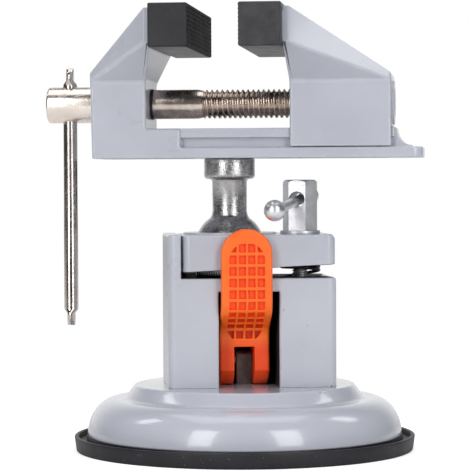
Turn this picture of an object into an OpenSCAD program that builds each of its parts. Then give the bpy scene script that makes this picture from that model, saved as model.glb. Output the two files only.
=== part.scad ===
// Table vise on a suction base. The head tilts and turns on a clamped ball, and the jaws have rubber pads.
// Origin: centre of the base on the face it stands on. +Z is up and -Y is the front, where the lever is.

/* [Suction base] */
// Radius of the rubber lip where it is widest
cup_r = 62.5; // [60:0.5:80]
// Height of the rubber lip, which the dome's rim sits on
cup_h = 5.5; // [4.5:0.1:8]
// How far the dome's rim stands inside the lip
rim_inset = 4.8; // [4.4:0.1:7]
// Height of the dome's top face above the bench
dome_h = 24; // [23:0.5:30]
// Width of the dome's round side, from its rim to its flat top
dome_side = 16.9; // [16.5:0.1:18]
// Wall thickness of the dome
dome_wall = 3; // [2:0.1:4]

/* [Clamp block] */
// Width of the block
block_w = 60.8; // [60:0.2:66]
// Depth of the block
block_d = 40; // [36:0.5:46]
// Height of the block's shelf above the dome
block_h = 39.4; // [38:0.2:50]
// Thickness of the lug at the block's left end
lug_t = 4.6; // [4:0.2:8]
// Width of the lever slot
slot_w = 21.8; // [21:0.1:23]
// Wall left behind the lever slot
slot_wall = 5; // [3:0.5:8]

/* [Clamp plate] */
// Gap between the shelf and the plate at its left end
plate_gap = 2.2; // [2:0.1:4]
// Thickness of the plate at its left end
plate_t = 13.4; // [11:0.1:16]
// Rise of the plate's underside from left to right
plate_taper = 2.6; // [0:0.1:3]

/* [Ball stud] */
// Radius of the ball
ball_r = 12.8; // [12:0.1:13.5]
// How far the ball sits to the left of the base's centre
ball_offset = 5.2; // [4:0.1:7]
// Radius of the neck
neck_r = 6.3; // [5:0.1:6.4]
// Radius of the collar under the head
collar_r = 9.3; // [8:0.05:10]
// Height of the collar
collar_h = 7.3; // [5:0.1:9]
// Distance from the ball's centre to the top of the collar
stud_len = 32.4; // [31:0.2:40]

/* [Clamp screw] */
// Distance from the block's right end to the screw's axis
screw_inset = 11; // [10:0.1:12]
// Across-corners radius of the tall hexagon head
hex_r = 6.5; // [6:0.1:7.2]
// Height of the hexagon head
hex_h = 18.6; // [16:0.2:24]
// Radius of the screw's shank
clamp_shank_r = 3; // [2.5:0.1:3.2]
// Radius of the cross bar
bar_r = 1.8; // [1.5:0.1:2]
// Radius of the balls on the ends of the cross bar
bar_ball_r = 3.85; // [2.8:0.05:4]
// Distance between the centres of those balls
bar_len = 38.15; // [30:0.05:42]

/* [Lever] */
// Width of the lever
lever_w = 18.4; // [16:0.2:18.6]
// Height of the lever's round top above the bench
lever_top = 81.2; // [76:0.2:90]
// Thickness of the lever's paddle
lever_t = 3.6; // [3:0.1:4.5]
// How far the paddle stands in front of the legs
lever_step = 12.2; // [10.8:0.1:13]
// Width of the gap between the legs
fork_gap = 7.3; // [6.4:0.1:8]
// Lift of the cam, in millimetres for each radian that the lever turns
cam_lift = 3.6; // [3:0.1:4]
// Height of the lever's pin above the dome
pin_h = 9; // [8:0.1:10]
// Radius of the lever's pin
pin_r = 2; // [1.5:0.1:2.5]

/* [Vise head] */
// Turn of the head on the ball, seen from above
head_yaw = -11.5; // [-20:0.5:20]
// Width of the cast body
body_w = 28; // [26:0.5:32]
// Length of the body from its left end to the ball stud
body_left = 48.8; // [46:0.2:54]
// Length of the body from the ball stud to the end of its tongue
body_right = 71.2; // [68:0.2:80]
// Height of the screw's axis above the underside of the body
axis_h = 20; // [19:0.2:24]
// Height of the jaws' top above the underside of the body
jaw_h = 53.4; // [50:0.2:60]
// Width of the jaws across the front
jaw_w = 58; // [50:1:64]
// Width of the rubber pads
pad_w = 70; // [64:1:80]
// Thickness of the rubber pads
pad_t = 14.2; // [12:0.2:16]
// Height of the rubber pads
pad_h = 15.6; // [14:0.2:18]
// Opening between the pads
opening = 18; // [8:0.5:30]

/* [Lead screw] */
// Radius of the screw over its thread
lead_r = 5.35; // [4.5:0.05:5.8]
// Length of the screw behind the knob
lead_len = 107; // [104:0.5:112]
// Radius of the knob
knob_r = 6.65; // [6:0.05:8]
// Length of the knob
knob_len = 19.5; // [16:0.5:24]
// Radius of the tommy bar
tommy_r = 2.6; // [2:0.1:3]
// Length of the tommy bar
tommy_len = 94.8; // [80:0.2:100]

/* [Fits] */
// Radial clearance of a running fit
run = 0.05; // [0.03:0.01:0.1]
// Clearance round the ball in its seat
seat_gap = 0.3; // [0.25:0.05:0.5]
// Clearance between castings that slide on each other
slide_gap = 0.25; // [0.15:0.05:0.4]

/* [Hidden] */
$fn = 64;
eps = 0.01;

// Heights that the stack of pieces works out
ball_drop = 4.7;
shelf_z = dome_h + block_h;
plate_z = shelf_z + plate_gap;
plate_top = plate_z + plate_t;
ball_z = plate_top - ball_drop;
body_z = ball_z + stud_len;
axis_z = body_z + axis_h;
jaw_z = body_z + jaw_h;
pin_z = dome_h + pin_h;

// Suction cup and its moulded-in disc
lip_t = 1.5;
groove_z = 3.3;
web_t = 4.2;
hub_r = 22;
hub_h = 9.4;
insert_r = 18;
insert_t = 2;
insert_z = 5;
stem_r = 5;
stem_top = dome_h - 5;
post_w = 5.8;
post_d = 9;
post_x = -0.5;
post_top = pin_z + 3.1;

// Dome
dome_r = cup_r - rim_inset;
dome_top_r = dome_r - dome_side;
dome_round = [10.7, dome_h - cup_h - 4.6];
dome_ceiling = dome_h - 6;
dome_boss_r = 9;

// Block
block_mid = 1.4;
block_left = block_mid - block_w / 2;
block_right = block_mid + block_w / 2;
lug_x = block_left + lug_t;
lug_top = plate_top + 0.2;
slot_top = shelf_z - 4.9;
fulcrum_r = 2.2;
fulcrum_w = 28;
fulcrum_x = lug_x + 3.9;
fulcrum_z = shelf_z + 1.2;
corner_r = 3;
block_screw_r = 2.5;
block_screw_x = 20.5;
block_screw_y = 11;
block_screw_len = 16;
pan_z = dome_h - 8;
pan_r = 4.4;
pan_h = 3;

// Clamp plate
plate_left = lug_x + 0.7;
plate_right = block_right - 0.4;
seat_w = 2.1;
seat_drop = plate_gap - 0.6;
screw_x = block_right - screw_inset;
tip_z = shelf_z - 21;
boss_r = ball_r + 4.4;
boss_h = 0.7;
washer_r = 7.4;
washer_t = 1.2;
hex_z = plate_top + washer_t;
spring_pocket = 3.4;
spring_r = 6.9;
wire_r = 0.6;
spring_turns = 3;

// Cross bar of the clamp screw: its way through the head, and the head's own turn
bar_z = hex_z + 11.3;
bar_yaw = 64.5;
bar_tilt = 7.6;
hex_yaw = 41;
cross_r = 2.9;
far_end = hex_r * cos(30) + bar_ball_r + 0.4;

// Lever: a cam whose reach grows evenly as it turns, below legs that stand a little behind the cam's face
lever_x = -1.1;
lever_turn = 60;
pin_ends = [0.2, 0.9];
fork_top = pin_z + 5.2;
heel_r = 7;
heel_arc = [-45, 75];
cam_gap = 0.05;
cam_h = pin_h - cam_gap;
cam_ledge = 0.8;
ledge_from = pin_z + 1.2;
ledge_to = pin_z + 3.6;
function cam_reach(t) = cam_h + cam_lift * t * PI / 180;
function cam_point(t) = [0, pin_z] + cam_reach(t) * [-sin(t), -cos(t)] + cam_lift * [-cos(t), sin(t)];

// The lever's S-bend in the Y-Z plane: two arcs with a straight run between them
bend_angle = 59;
bend_r1 = 7;
bend_r2 = 5;
bend_z = pin_z + 22.5;
leg_y = cam_point(lever_turn).x + cam_ledge;
paddle_y = leg_y - lever_step;
bend_down = [-cos(bend_angle), -sin(bend_angle)];
bend_along = [sin(bend_angle), -cos(bend_angle)];
bend_run = (lever_step - (bend_r1 + bend_r2) * (1 - cos(bend_angle))) / sin(bend_angle);
bend_c1 = [paddle_y + bend_r1, bend_z];
bend_c2 = bend_c1 + (bend_r1 + bend_r2) * bend_down + bend_run * bend_along;

// Recessed cells on the lever's face
cell = [2.6, 3.0, 1.4];
cell_pitch = [3.38, 4.15];
cell_rows = 10;
cell_cols = 4;
first_cell_z = lever_top - 6.8;
panel_w = cell_cols * cell_pitch.x - 0.7;
panel_top = lever_top - 5.2;
panel_bottom = pin_z + 6.9;

// Head, measured along the screw from the ball stud
flange_h = 3.8;
groove_h = 3.6;
rail_h = 3.4;
groove_w = body_w - 7;
rail_w = body_w - 3;
rail_top = body_z + flange_h + groove_h + rail_h;
block_in = -28.9;
rail_from = -16.3;
rail_to = 61;
cheek_h = 27.8;
flare_h = 40.8;
jaw_t = 2.2;
fixed_face = -10.8;
fixed_back = fixed_face - pad_t;
sliding_face = fixed_face + opening;
sliding_back = sliding_face + pad_t + 0.9;
slider_from = sliding_back + 1.1;
slider_to = slider_from + 36.6;
nose = [8, 9.5];
nut_collar = [0.7, 2.6];
bolt_r = 3;
bolt_head_r = 5;
bolt_head_h = 4;
bolt_depth = 12;
socket = [2.9, 3];
knob_from = -body_left - knob_len;
tommy_x = -body_left - knob_len / 2 - 0.9;
pinch_t = 2.8;
pinch_w = 6.8;
pinch_len = 6;
pinch_flare = 1.8;
tommy_top = axis_z + knob_r + 6.8;

// Points of an arc about a centre
function arc(c, r, a0, a1, n = 8) = [for (i = [0:n])
    let (a = a0 + (a1 - a0) * i / n) c + r * [cos(a), sin(a)]];

// Rectangle with round corners, about a centre
module round_rect(size, r) {
    square([size.x - 2 * r, size.y], center = true);
    square([size.x, size.y - 2 * r], center = true);
    for (x = [-1, 1], y = [-1, 1])
        translate([x * (size.x / 2 - r), y * (size.y / 2 - r)]) circle(r);
}

// Box from one corner to another
module box(a, b) {
    translate(a) cube(b - a);
}

// Cylinder along X
module rod_x(x0, x1, r) {
    translate([x0, 0, 0]) rotate([0, 90, 0]) cylinder(r = r, h = x1 - x0);
}

// Profile in the Y-Z plane, run along X and centred on x
module run_x(x, w) {
    translate([x - w / 2, 0, 0]) rotate([90, 0, 90]) linear_extrude(w) children();
}

// Profile in the X-Z plane, run along Y and centred on the middle
module run_y(w) {
    translate([0, w / 2, 0]) rotate([90, 0, 0]) linear_extrude(w) children();
}

// Places the head's pieces, drawn along X from the ball stud, at the head's turn
module at_head() {
    translate([-ball_offset, 0, 0]) rotate([0, 0, head_yaw]) children();
}

// ---------------------------------------------------------------- suction base

module suction_cup() {
    color([0.10, 0.10, 0.11]) rotate_extrude() difference() {
        polygon([[0, 0], [cup_r - 0.7, 0], [cup_r, cup_h],
                 [cup_r - lip_t, cup_h], [cup_r - lip_t - 0.5, groove_z], [dome_r + 0.5, groove_z],
                 [dome_r + 0.1, cup_h], [dome_r - 7, cup_h], [dome_r - 10, web_t], [hub_r + 3, web_t],
                 [hub_r, hub_h], [stem_r, hub_h],
                 [stem_r, insert_z], [0, insert_z]]);
        translate([0, insert_z]) square([insert_r, insert_t]);
    }
}

module cup_insert() {
    color([0.5, 0.5, 0.5]) translate([0, 0, insert_z]) difference() {
        cylinder(r = insert_r, h = insert_t);
        translate([0, 0, -eps]) cylinder(r = stem_r - 2, h = insert_t + 2 * eps);
    }
}

module pull_stem() {
    color([0.23, 0.20, 0.19]) difference() {
        union() {
            translate([0, 0, insert_z]) cylinder(r = stem_r - 2, h = insert_t);
            translate([0, 0, insert_z + insert_t]) cylinder(r = stem_r, h = stem_top - insert_z - insert_t);
            run_x(post_x, post_w) translate([0, (stem_top - 1 + post_top) / 2])
                round_rect([post_d, post_top - stem_top + 1], 1.5);
        }
        translate([0, 0, pin_z]) rod_x(-post_w, post_w, pin_r);
    }
}

module lever_pin() {
    color([0.72, 0.72, 0.74]) translate([0, 0, pin_z])
        rod_x(lever_x - lever_w / 2 - pin_ends[0], lever_x + lever_w / 2 + pin_ends[1], pin_r);
}

module base_dome() {
    c = [dome_r - dome_round.x, cup_h + 0.5];
    inner_r = dome_r - dome_wall;
    shoulder = c.y + dome_round.y;
    fillet = 2.4;
    outer = concat([[dome_r, cup_h]],
                   [for (i = [0:12]) c + [dome_round.x * cos(7.5 * i), dome_round.y * sin(7.5 * i)]],
                   [for (i = [0:4])
                       [dome_top_r + 4.2 - fillet * sin(14 * i), shoulder + fillet * (1 - cos(14 * i))]],
                   arc([dome_top_r - 1.2, dome_h - 1.2], 1.2, 20, 90, 4));
    color([0.70, 0.71, 0.74]) difference() {
        union() {
            rotate_extrude() difference() {
                polygon(concat(outer, [[0, dome_h], [0, cup_h]]));
                polygon([[0, cup_h - 1], [inner_r, cup_h - 1], [inner_r - 0.5, cup_h + 4],
                         [inner_r - 5, cup_h + 8.8], [inner_r - 12, shoulder - dome_wall],
                         [dome_top_r - 2, dome_ceiling], [0, dome_ceiling]]);
            }
            translate([0, 0, cup_h + 6.2]) cylinder(r = dome_boss_r, h = dome_ceiling - cup_h - 6);
            block_screw_places() translate([0, 0, pan_z - pan_h]) cylinder(r = pan_r + 2, h = 6);
        }
        translate([0, 0, cup_h]) cylinder(r = stem_r + run, h = dome_h);
        run_x(post_x, post_w + 0.3) translate([0, dome_h]) square([post_d + 0.3, 14], center = true);
        block_screw_places() {
            cylinder(r = block_screw_r + run, h = dome_h + 1);
            translate([0, 0, cup_h]) cylinder(r = pan_r + 0.3, h = pan_z - cup_h);
        }
    }
}

// ---------------------------------------------------------------- clamp block and its screws

module block_screw_places() {
    for (x = [-1, 1], y = [-1, 1])
        translate([x * block_screw_x, y * block_screw_y, 0]) children();
}

module block_screws() {
    color([0.62, 0.63, 0.65]) block_screw_places() {
        translate([0, 0, pan_z]) cylinder(r = block_screw_r, h = block_screw_len + 2);
        translate([0, 0, pan_z - pan_h]) difference() {
            cylinder(r = pan_r, h = pan_h);
            for (a = [0, 90])
                rotate([0, 0, a]) translate([-2.4, -0.5, -eps]) cube([4.8, 1, 1.8]);
        }
    }
}

module clamp_block() {
    color([0.71, 0.73, 0.77]) difference() {
        union() {
            translate([block_mid, 0, dome_h]) linear_extrude(block_h)
                round_rect([block_w, block_d], corner_r);
            intersection() {
                translate([block_mid, 0, dome_h]) linear_extrude(lug_top - dome_h)
                    round_rect([block_w, block_d], corner_r);
                box([block_left - 1, -block_d, dome_h], [lug_x, block_d, lug_top]);
            }
        }
        box([-slot_w / 2, -block_d, dome_h - eps], [slot_w / 2, block_d / 2 - slot_wall, slot_top]);
        translate([-ball_offset, 0, ball_z]) sphere(ball_r + seat_gap);
        translate([fulcrum_x, 0, fulcrum_z]) rotate([90, 0, 0])
            cylinder(r = fulcrum_r + run, h = fulcrum_w + 0.6, center = true);
        translate([screw_x, 0, tip_z - 3]) cylinder(r = clamp_shank_r + run, h = block_h);
        translate([screw_x, 0, shelf_z - spring_pocket]) cylinder(r = spring_r + wire_r + 0.6, h = 10);
        block_screw_places() cylinder(r = block_screw_r + run, h = pan_z + block_screw_len + 3);
    }
}

// ---------------------------------------------------------------- clamp plate, spring and washer

module clamp_plate() {
    run_out = plate_right - plate_left;
    color([0.71, 0.73, 0.77]) difference() {
        union() {
            intersection() {
                translate([(plate_left + plate_right) / 2, 0, shelf_z])
                    linear_extrude(plate_top - shelf_z) round_rect([run_out, block_d], corner_r);
                run_y(block_d + 2)
                    polygon([[plate_left, plate_z], [plate_right, plate_z + plate_taper],
                             [plate_right, plate_top - 1.2], [plate_right - 1.2, plate_top],
                             [plate_left, plate_top]]);
            }
            translate([fulcrum_x, 0, fulcrum_z]) rotate([90, 0, 0])
                cylinder(r = fulcrum_r, h = fulcrum_w, center = true);
            box([fulcrum_x - fulcrum_r, -fulcrum_w / 2, fulcrum_z],
                [fulcrum_x + fulcrum_r, fulcrum_w / 2, plate_z + 2]);
            translate([-ball_offset, 0, plate_top - eps]) cylinder(r = boss_r, h = boss_h);
            // ring round the ball that reaches down to just above the shelf
            translate([-ball_offset, 0, plate_z - seat_drop])
                cylinder(r = ball_r + seat_gap + 0.2 + seat_w, h = seat_drop + plate_taper + 1);
        }
        translate([-ball_offset, 0, ball_z]) sphere(ball_r + seat_gap);
        translate([-ball_offset, 0, shelf_z]) cylinder(r = ball_r + seat_gap + 0.2, h = ball_z - shelf_z);
        translate([screw_x, 0, shelf_z]) cylinder(r = clamp_shank_r + 0.75, h = 30);
        translate([screw_x, 0, plate_top]) cylinder(r = washer_r + 1, h = 5);
    }
}

// The spring's wire is one tube that climbs evenly, with its ends laid flat
module clamp_spring() {
    z0 = shelf_z - spring_pocket + wire_r;
    z1 = plate_z + plate_taper * (screw_x - plate_left) / (plate_right - plate_left) - wire_r - 0.35;
    rings = 8 * spring_turns;
    sides = 6;
    function climb(t) = min(max((t - 0.5) / (spring_turns - 1), 0), 1);
    function wire(i) = let (t = i / 8)
        [spring_r * cos(360 * t), spring_r * sin(360 * t), z0 + (z1 - z0) * climb(t)];
    points = [for (i = [0:rings], s = [0:sides - 1])
        let (a = 45 * i, b = 360 * s / sides, p = wire(i), r = wire_r)
            [p.x + r * cos(b) * cos(a), p.y + r * cos(b) * sin(a), p.z + r * sin(b)]];
    faces = concat(
        [[for (s = [0:sides - 1]) s]],
        [for (i = [0:rings - 1], s = [0:sides - 1]) let (n = (s + 1) % sides)
            [i * sides + s, (i + 1) * sides + s, (i + 1) * sides + n]],
        [for (i = [0:rings - 1], s = [0:sides - 1]) let (n = (s + 1) % sides)
            [i * sides + s, (i + 1) * sides + n, i * sides + n]],
        [[for (s = [sides - 1:-1:0]) rings * sides + s]]);
    least = min([for (i = [0:rings], j = [0:rings]) if (j - i >= 5) norm(wire(i) - wire(j)) - 2 * wire_r]);
    echo(spring_least_gap = least);
    color([0.08, 0.08, 0.09]) translate([screw_x, 0, 0]) polyhedron(points, faces);
}

module clamp_washer() {
    color([0.78, 0.80, 0.83]) translate([screw_x, 0, plate_top]) difference() {
        cylinder(r = washer_r, h = washer_t);
        translate([0, 0, -eps]) cylinder(r = clamp_shank_r + 0.2, h = washer_t + 2 * eps);
    }
}

// ---------------------------------------------------------------- clamp screw and its bar

module clamp_screw() {
    color([0.76, 0.78, 0.81]) translate([screw_x, 0, 0]) difference() {
        union() {
            translate([0, 0, hex_z]) intersection() {
                rotate([0, 0, hex_yaw]) cylinder(r = hex_r, h = hex_h, $fn = 6);
                union() {
                    cylinder(r = hex_r + 1, h = hex_h - 1.2);
                    translate([0, 0, hex_h - 1.2 - eps])
                        cylinder(r1 = hex_r + 0.4, r2 = hex_r - 1.1, h = 1.2 + eps);
                }
            }
            translate([0, 0, tip_z]) cylinder(r = clamp_shank_r, h = hex_z - tip_z + eps);
        }
        translate([0, 0, bar_z]) rotate([0, 90, hex_yaw + 30])
            cylinder(r = cross_r, h = 3 * hex_r, center = true);
    }
}

module on_bar() {
    translate([screw_x, 0, bar_z]) rotate([0, 90 - bar_tilt, bar_yaw]) children();
}

module clamp_bar() {
    color([0.74, 0.75, 0.78]) on_bar() {
        translate([0, 0, far_end - bar_len]) cylinder(r = bar_r, h = bar_len);
        translate([0, 0, far_end - bar_len]) sphere(bar_ball_r);
    }
}

module clamp_bar_end() {
    color([0.74, 0.75, 0.78]) on_bar() difference() {
        translate([0, 0, far_end]) sphere(bar_ball_r);
        translate([0, 0, far_end - 5]) cylinder(r = bar_r, h = 5);
    }
}

// ---------------------------------------------------------------- lever

// Side view of the lever in the Y-Z plane
module lever_side() {
    front = concat(arc(bend_c1, bend_r1, 180, 180 + bend_angle), arc(bend_c2, bend_r2, bend_angle, 0));
    back = concat(arc(bend_c2, bend_r2 + lever_t, 20, bend_angle),
                  arc(bend_c1, bend_r1 - lever_t, 180 + bend_angle, 180));
    cam = [for (i = [8:-1:0]) cam_point(lever_turn * i / 8)];
    heel = arc([0, pin_z], heel_r, heel_arc[0], heel_arc[1]);
    polygon(concat([[paddle_y, lever_top]], front, [[leg_y, ledge_to], [leg_y - cam_ledge, ledge_from]], cam,
                   [[3, pin_z - cam_h]], heel, back, [[paddle_y + lever_t, lever_top]]));
}

module cam_lever() {
    r = lever_w / 2;
    color([0.96, 0.36, 0.12]) difference() {
        intersection() {
            run_x(lever_x, lever_w) lever_side();
            translate([lever_x, 0, 0]) run_y(2 * block_d) {
                translate([0, lever_top - r]) circle(r);
                translate([-r, dome_h - 5]) square([lever_w, lever_top - r - dome_h + 5]);
            }
        }
        box([lever_x - fork_gap / 2, -block_d, dome_h - 5], [lever_x + fork_gap / 2, block_d, fork_top]);
        translate([0, 0, pin_z]) rod_x(-2 * lever_w, 2 * lever_w, pin_r + run);
        lever_cells();
    }
}

// Recessed cells that follow the lever's bent face, trimmed to a panel with round ends
module lever_cells() {
    l1 = bend_r1 * bend_angle * PI / 180;
    l2 = bend_r2 * bend_angle * PI / 180;
    // Point on the face, and its slope, at a distance below the start of the bend
    at = function (s) s < 0 ? [paddle_y, bend_z - s, 0]
        : s < l1 ? let (a = s / bend_r1 * 180 / PI)
            [bend_c1.x - bend_r1 * cos(a), bend_z - bend_r1 * sin(a), a]
        : s < l1 + bend_run ? let (p = bend_c1 + bend_r1 * bend_down + (s - l1) * bend_along)
            [p.x, p.y, bend_angle]
        : s < l1 + bend_run + l2 ? let (a = bend_angle - (s - l1 - bend_run) / bend_r2 * 180 / PI)
            [bend_c2.x + bend_r2 * cos(a), bend_c2.y + bend_r2 * sin(a), a]
        : [leg_y, bend_c2.y - (s - l1 - bend_run - l2), 0];
    intersection() {
        for (row = [0:cell_rows - 1], col = [0:cell_cols - 1]) {
            p = at(bend_z - first_cell_z + row * cell_pitch.y);
            translate([lever_x + (col - (cell_cols - 1) / 2) * cell_pitch.x, p.x, p.y]) rotate([p.z, 0, 0])
                cube([cell.x, 2 * cell.z, cell.y], center = true);
        }
        translate([lever_x, 0, (panel_top + panel_bottom) / 2]) run_y(2 * block_d)
            round_rect([panel_w, panel_top - panel_bottom], panel_w / 2 - 0.5);
    }
}

// ---------------------------------------------------------------- ball stud and head bolt

module ball_stud() {
    color([0.44, 0.44, 0.45]) translate([-ball_offset, 0, 0]) difference() {
        union() {
            translate([0, 0, ball_z]) sphere(ball_r);
            rotate_extrude() polygon(concat(
                [[0, ball_z], [neck_r + 1, ball_z + ball_r - 2.6], [neck_r, ball_z + ball_r],
                 [neck_r, body_z - collar_h - 0.8], [collar_r - 0.9, body_z - collar_h]],
                arc([collar_r - 0.8, body_z - collar_h + 0.8], 0.8, -90, 0, 3),
                arc([collar_r - 0.8, body_z - 0.8], 0.8, 0, 90, 3), [[0, body_z]]));
        }
        translate([0, 0, body_z - bolt_depth - 2]) cylinder(r = bolt_r + run, h = bolt_depth + 8);
        translate([0, 0, ball_z - ball_r - 1]) cylinder(r = ball_r, h = 1.6);
    }
}

module head_bolt() {
    color([0.30, 0.30, 0.32]) translate([-ball_offset, 0, 0]) difference() {
        union() {
            translate([0, 0, body_z - bolt_depth])
                cylinder(r = bolt_r, h = bolt_depth + rail_top - body_z - bolt_head_h);
            translate([0, 0, rail_top - bolt_head_h - 0.5]) cylinder(r = bolt_head_r, h = bolt_head_h);
        }
        translate([0, 0, rail_top - socket[1]]) cylinder(r = socket[0], h = bolt_head_h, $fn = 6);
    }
}

// ---------------------------------------------------------------- head casting

// Upper jaw: it widens from the body to the jaw in front view and in plan, and its back slopes in side view.
// It runs from its outer end to its inner end over the body, and carries the pad's seat at face.
module jaw_flare(outer, inner, face, slope_top) {
    way = face > outer ? 1 : -1;
    rear = face - way * jaw_t;
    base = body_z + cheek_h - 1;
    long = abs(face - outer) + 2;
    intersection() {
        run_y(jaw_w) polygon([[outer, base], [outer, slope_top], [rear, jaw_z], [face, jaw_z],
                              [face, body_z + flare_h], [inner, body_z + cheek_h], [inner, base]]);
        translate([0, 0, base - 1]) linear_extrude(jaw_z - base + 2)
            polygon([[outer, -body_w / 2], [rear, -jaw_w / 2], [face + way, -jaw_w / 2],
                     [face + way, jaw_w / 2], [rear, jaw_w / 2], [outer, body_w / 2]]);
        run_x((outer + face) / 2, 2 * long)
            polygon([[-body_w / 2, base], [-body_w / 2, body_z + cheek_h], [-jaw_w / 2, body_z + flare_h],
                     [-jaw_w / 2, jaw_z + 1], [jaw_w / 2, jaw_z + 1], [jaw_w / 2, body_z + flare_h],
                     [body_w / 2, body_z + cheek_h], [body_w / 2, base]]);
    }
}

// Nose that the rubber pad slips over
module jaw_nose(x, way) {
    mid = jaw_z + 1.2 - pad_h / 2;
    box([min(x, x + way * nose.x), -jaw_w / 2, mid - nose.y / 2],
        [max(x, x + way * nose.x), jaw_w / 2, mid + nose.y / 2]);
}

module vise_body() {
    floor_top = body_z + flange_h;
    groove_top = floor_top + groove_h;
    color([0.72, 0.74, 0.78]) at_head() difference() {
        union() {
            // flange that becomes the tongue, with round corners at its end
            translate([(body_right - body_left) / 2, 0, body_z]) linear_extrude(flange_h)
                intersection() {
                    translate([-4, 0]) round_rect([body_right + body_left + 8, body_w], 4);
                    square([body_right + body_left, body_w], center = true);
                }
            box([-body_left, -body_w / 2, body_z], [block_in, body_w / 2, body_z + cheek_h]);
            box([block_in - eps, -body_w / 2, body_z], [rail_from, body_w / 2, rail_top]);
            // web and top flange of the rail, run out in a hollow curve
            box([rail_from - eps, -groove_w / 2, body_z], [rail_to, groove_w / 2, groove_top + 0.5]);
            box([rail_from - eps, -rail_w / 2, groove_top], [rail_to, rail_w / 2, rail_top]);
            difference() {
                box([rail_to - eps, -groove_w / 2, floor_top - eps], [rail_to + 6, groove_w / 2, rail_top]);
                translate([rail_to + 7.4, 0, rail_top]) rotate([90, 0, 0])
                    cylinder(r = rail_top - floor_top - 0.2, h = body_w, center = true);
            }
            jaw_flare(-body_left, block_in, fixed_back, body_z + cheek_h + 3);
            jaw_nose(fixed_back - eps, 1);
        }
        translate([0, 0, axis_z]) rod_x(-body_left - 1, block_in + 4, lead_r + run);
        translate([0, 0, body_z - 1]) cylinder(r = bolt_r + 0.3, h = 20);
        translate([0, 0, rail_top - bolt_head_h - 0.5]) cylinder(r = bolt_head_r + 0.5, h = 10);
        // the casting is hollow underneath, either side of the stud
        box([-body_left + 4, -body_w / 2 + 4.5, body_z - 1], [-collar_r - 4, body_w / 2 - 4.5, body_z + 6]);
        box([collar_r + 4, -body_w / 2 + 6, body_z - 1], [rail_to - 4, body_w / 2 - 6, body_z + 5]);
    }
}

module sliding_jaw() {
    bottom = body_z + flange_h + slide_gap;
    groove_top = body_z + flange_h + groove_h;
    g = slide_gap;
    color([0.72, 0.74, 0.78]) at_head() difference() {
        union() {
            box([slider_from, -body_w / 2, bottom], [slider_to, body_w / 2, body_z + cheek_h]);
            jaw_flare(slider_to, slider_from, sliding_back, body_z + cheek_h + 2.4);
            jaw_nose(sliding_back + eps, -1);
            translate([0, 0, axis_z])
                rod_x(slider_to - eps, slider_to + nut_collar[0], lead_r + nut_collar[1]);
        }
        box([slider_from - 1, -rail_w / 2 - g, groove_top - g],
            [slider_to + 1, rail_w / 2 + g, rail_top + g]);
        box([slider_from - 1, -groove_w / 2 - g, bottom - 1], [slider_to + 1, groove_w / 2 + g, groove_top]);
        translate([0, 0, axis_z]) rod_x(slider_from - 4, slider_to + 4, lead_r + run);
    }
}

// Rubber cap with a grooved clamping face. The face looks along way, which is 1 or -1
module jaw_pad(face, back, way) {
    low = jaw_z + 1.2 - pad_h;
    mid = low + pad_h / 2;
    depth = abs(back - face);
    pitch = 1.5;
    color([0.20, 0.20, 0.22]) at_head() difference() {
        translate([(face + back) / 2, 0, mid]) run_y(pad_w) round_rect([depth, pad_h], 0.8);
        jaw_nose(back, way);
        for (i = [-4:4])
            translate([face, 0, mid + i * pitch]) run_y(pad_w + 2) square([1, 0.9], center = true);
    }
}

module fixed_jaw_pad() {
    jaw_pad(fixed_face, fixed_back, 1);
}

module sliding_jaw_pad() {
    jaw_pad(sliding_face, sliding_back, -1);
}

// ---------------------------------------------------------------- lead screw and tommy bar

module lead_screw() {
    ring_x = block_in;
    color([0.66, 0.61, 0.55]) at_head() translate([0, 0, axis_z]) difference() {
        union() {
            rod_x(knob_from, -body_left, knob_r);
            rod_x(-body_left - eps, lead_len - body_left - 1, lead_r);
            translate([lead_len - body_left - 1 - eps, 0, 0]) rotate([0, 90, 0])
                cylinder(r1 = lead_r, r2 = lead_r - 1, h = 1);
        }
        difference() {
            rod_x(ring_x + 0.1, ring_x + 1.3, lead_r + 1);
            rod_x(ring_x, ring_x + 1.4, lead_r - 0.6);
        }
        translate([tommy_x, 0, -knob_r - 1]) cylinder(r = tommy_r + 0.1, h = 2 * knob_r + 2);
    }
}

module retaining_ring() {
    x = block_in + 0.15;
    color([0.06, 0.06, 0.07]) at_head() translate([0, 0, axis_z]) difference() {
        rod_x(x, x + 1.1, lead_r + 1.8);
        rod_x(x - 1, x + 2, lead_r - 0.6 + run);
        box([x - 1, -1.5, 0], [x + 2, 1.5, lead_r + 3]);
    }
}

// The bar's ends are pinched flat, which keeps it from dropping out of the knob
module tommy_bar() {
    low = tommy_top - tommy_len;
    round_z = pinch_len - pinch_flare - pinch_w / 2;
    tip = concat([[-pinch_w / 2, 0]], arc([0, round_z], pinch_w / 2, 180, 0, 12), [[pinch_w / 2, 0]]);
    color([0.68, 0.63, 0.57]) at_head() translate([tommy_x, 0, 0]) {
        translate([0, 0, low + pinch_len - eps])
            cylinder(r = tommy_r, h = tommy_len - 2 * pinch_len + 2 * eps);
        for (up = [0, 1])
            translate([0, 0, up ? tommy_top - pinch_len : low + pinch_len]) mirror([0, 0, 1 - up]) {
                hull() {
                    cylinder(r = tommy_r, h = 0.1, $fn = 24);
                    translate([0, 0, pinch_flare]) linear_extrude(0.1)
                        round_rect([pinch_t - 0.1, pinch_w - 0.1], 1, $fn = 16);
                }
                translate([0, 0, pinch_flare]) run_x(0, pinch_t) polygon(tip);
            }
    }
}

suction_cup();
cup_insert();
pull_stem();
lever_pin();
cam_lever();
base_dome();
clamp_block();
block_screws();
clamp_plate();
clamp_spring();
clamp_washer();
clamp_screw();
clamp_bar();
clamp_bar_end();
ball_stud();
head_bolt();
vise_body();
fixed_jaw_pad();
sliding_jaw();
sliding_jaw_pad();
lead_screw();
retaining_ring();
tommy_bar();
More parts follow.
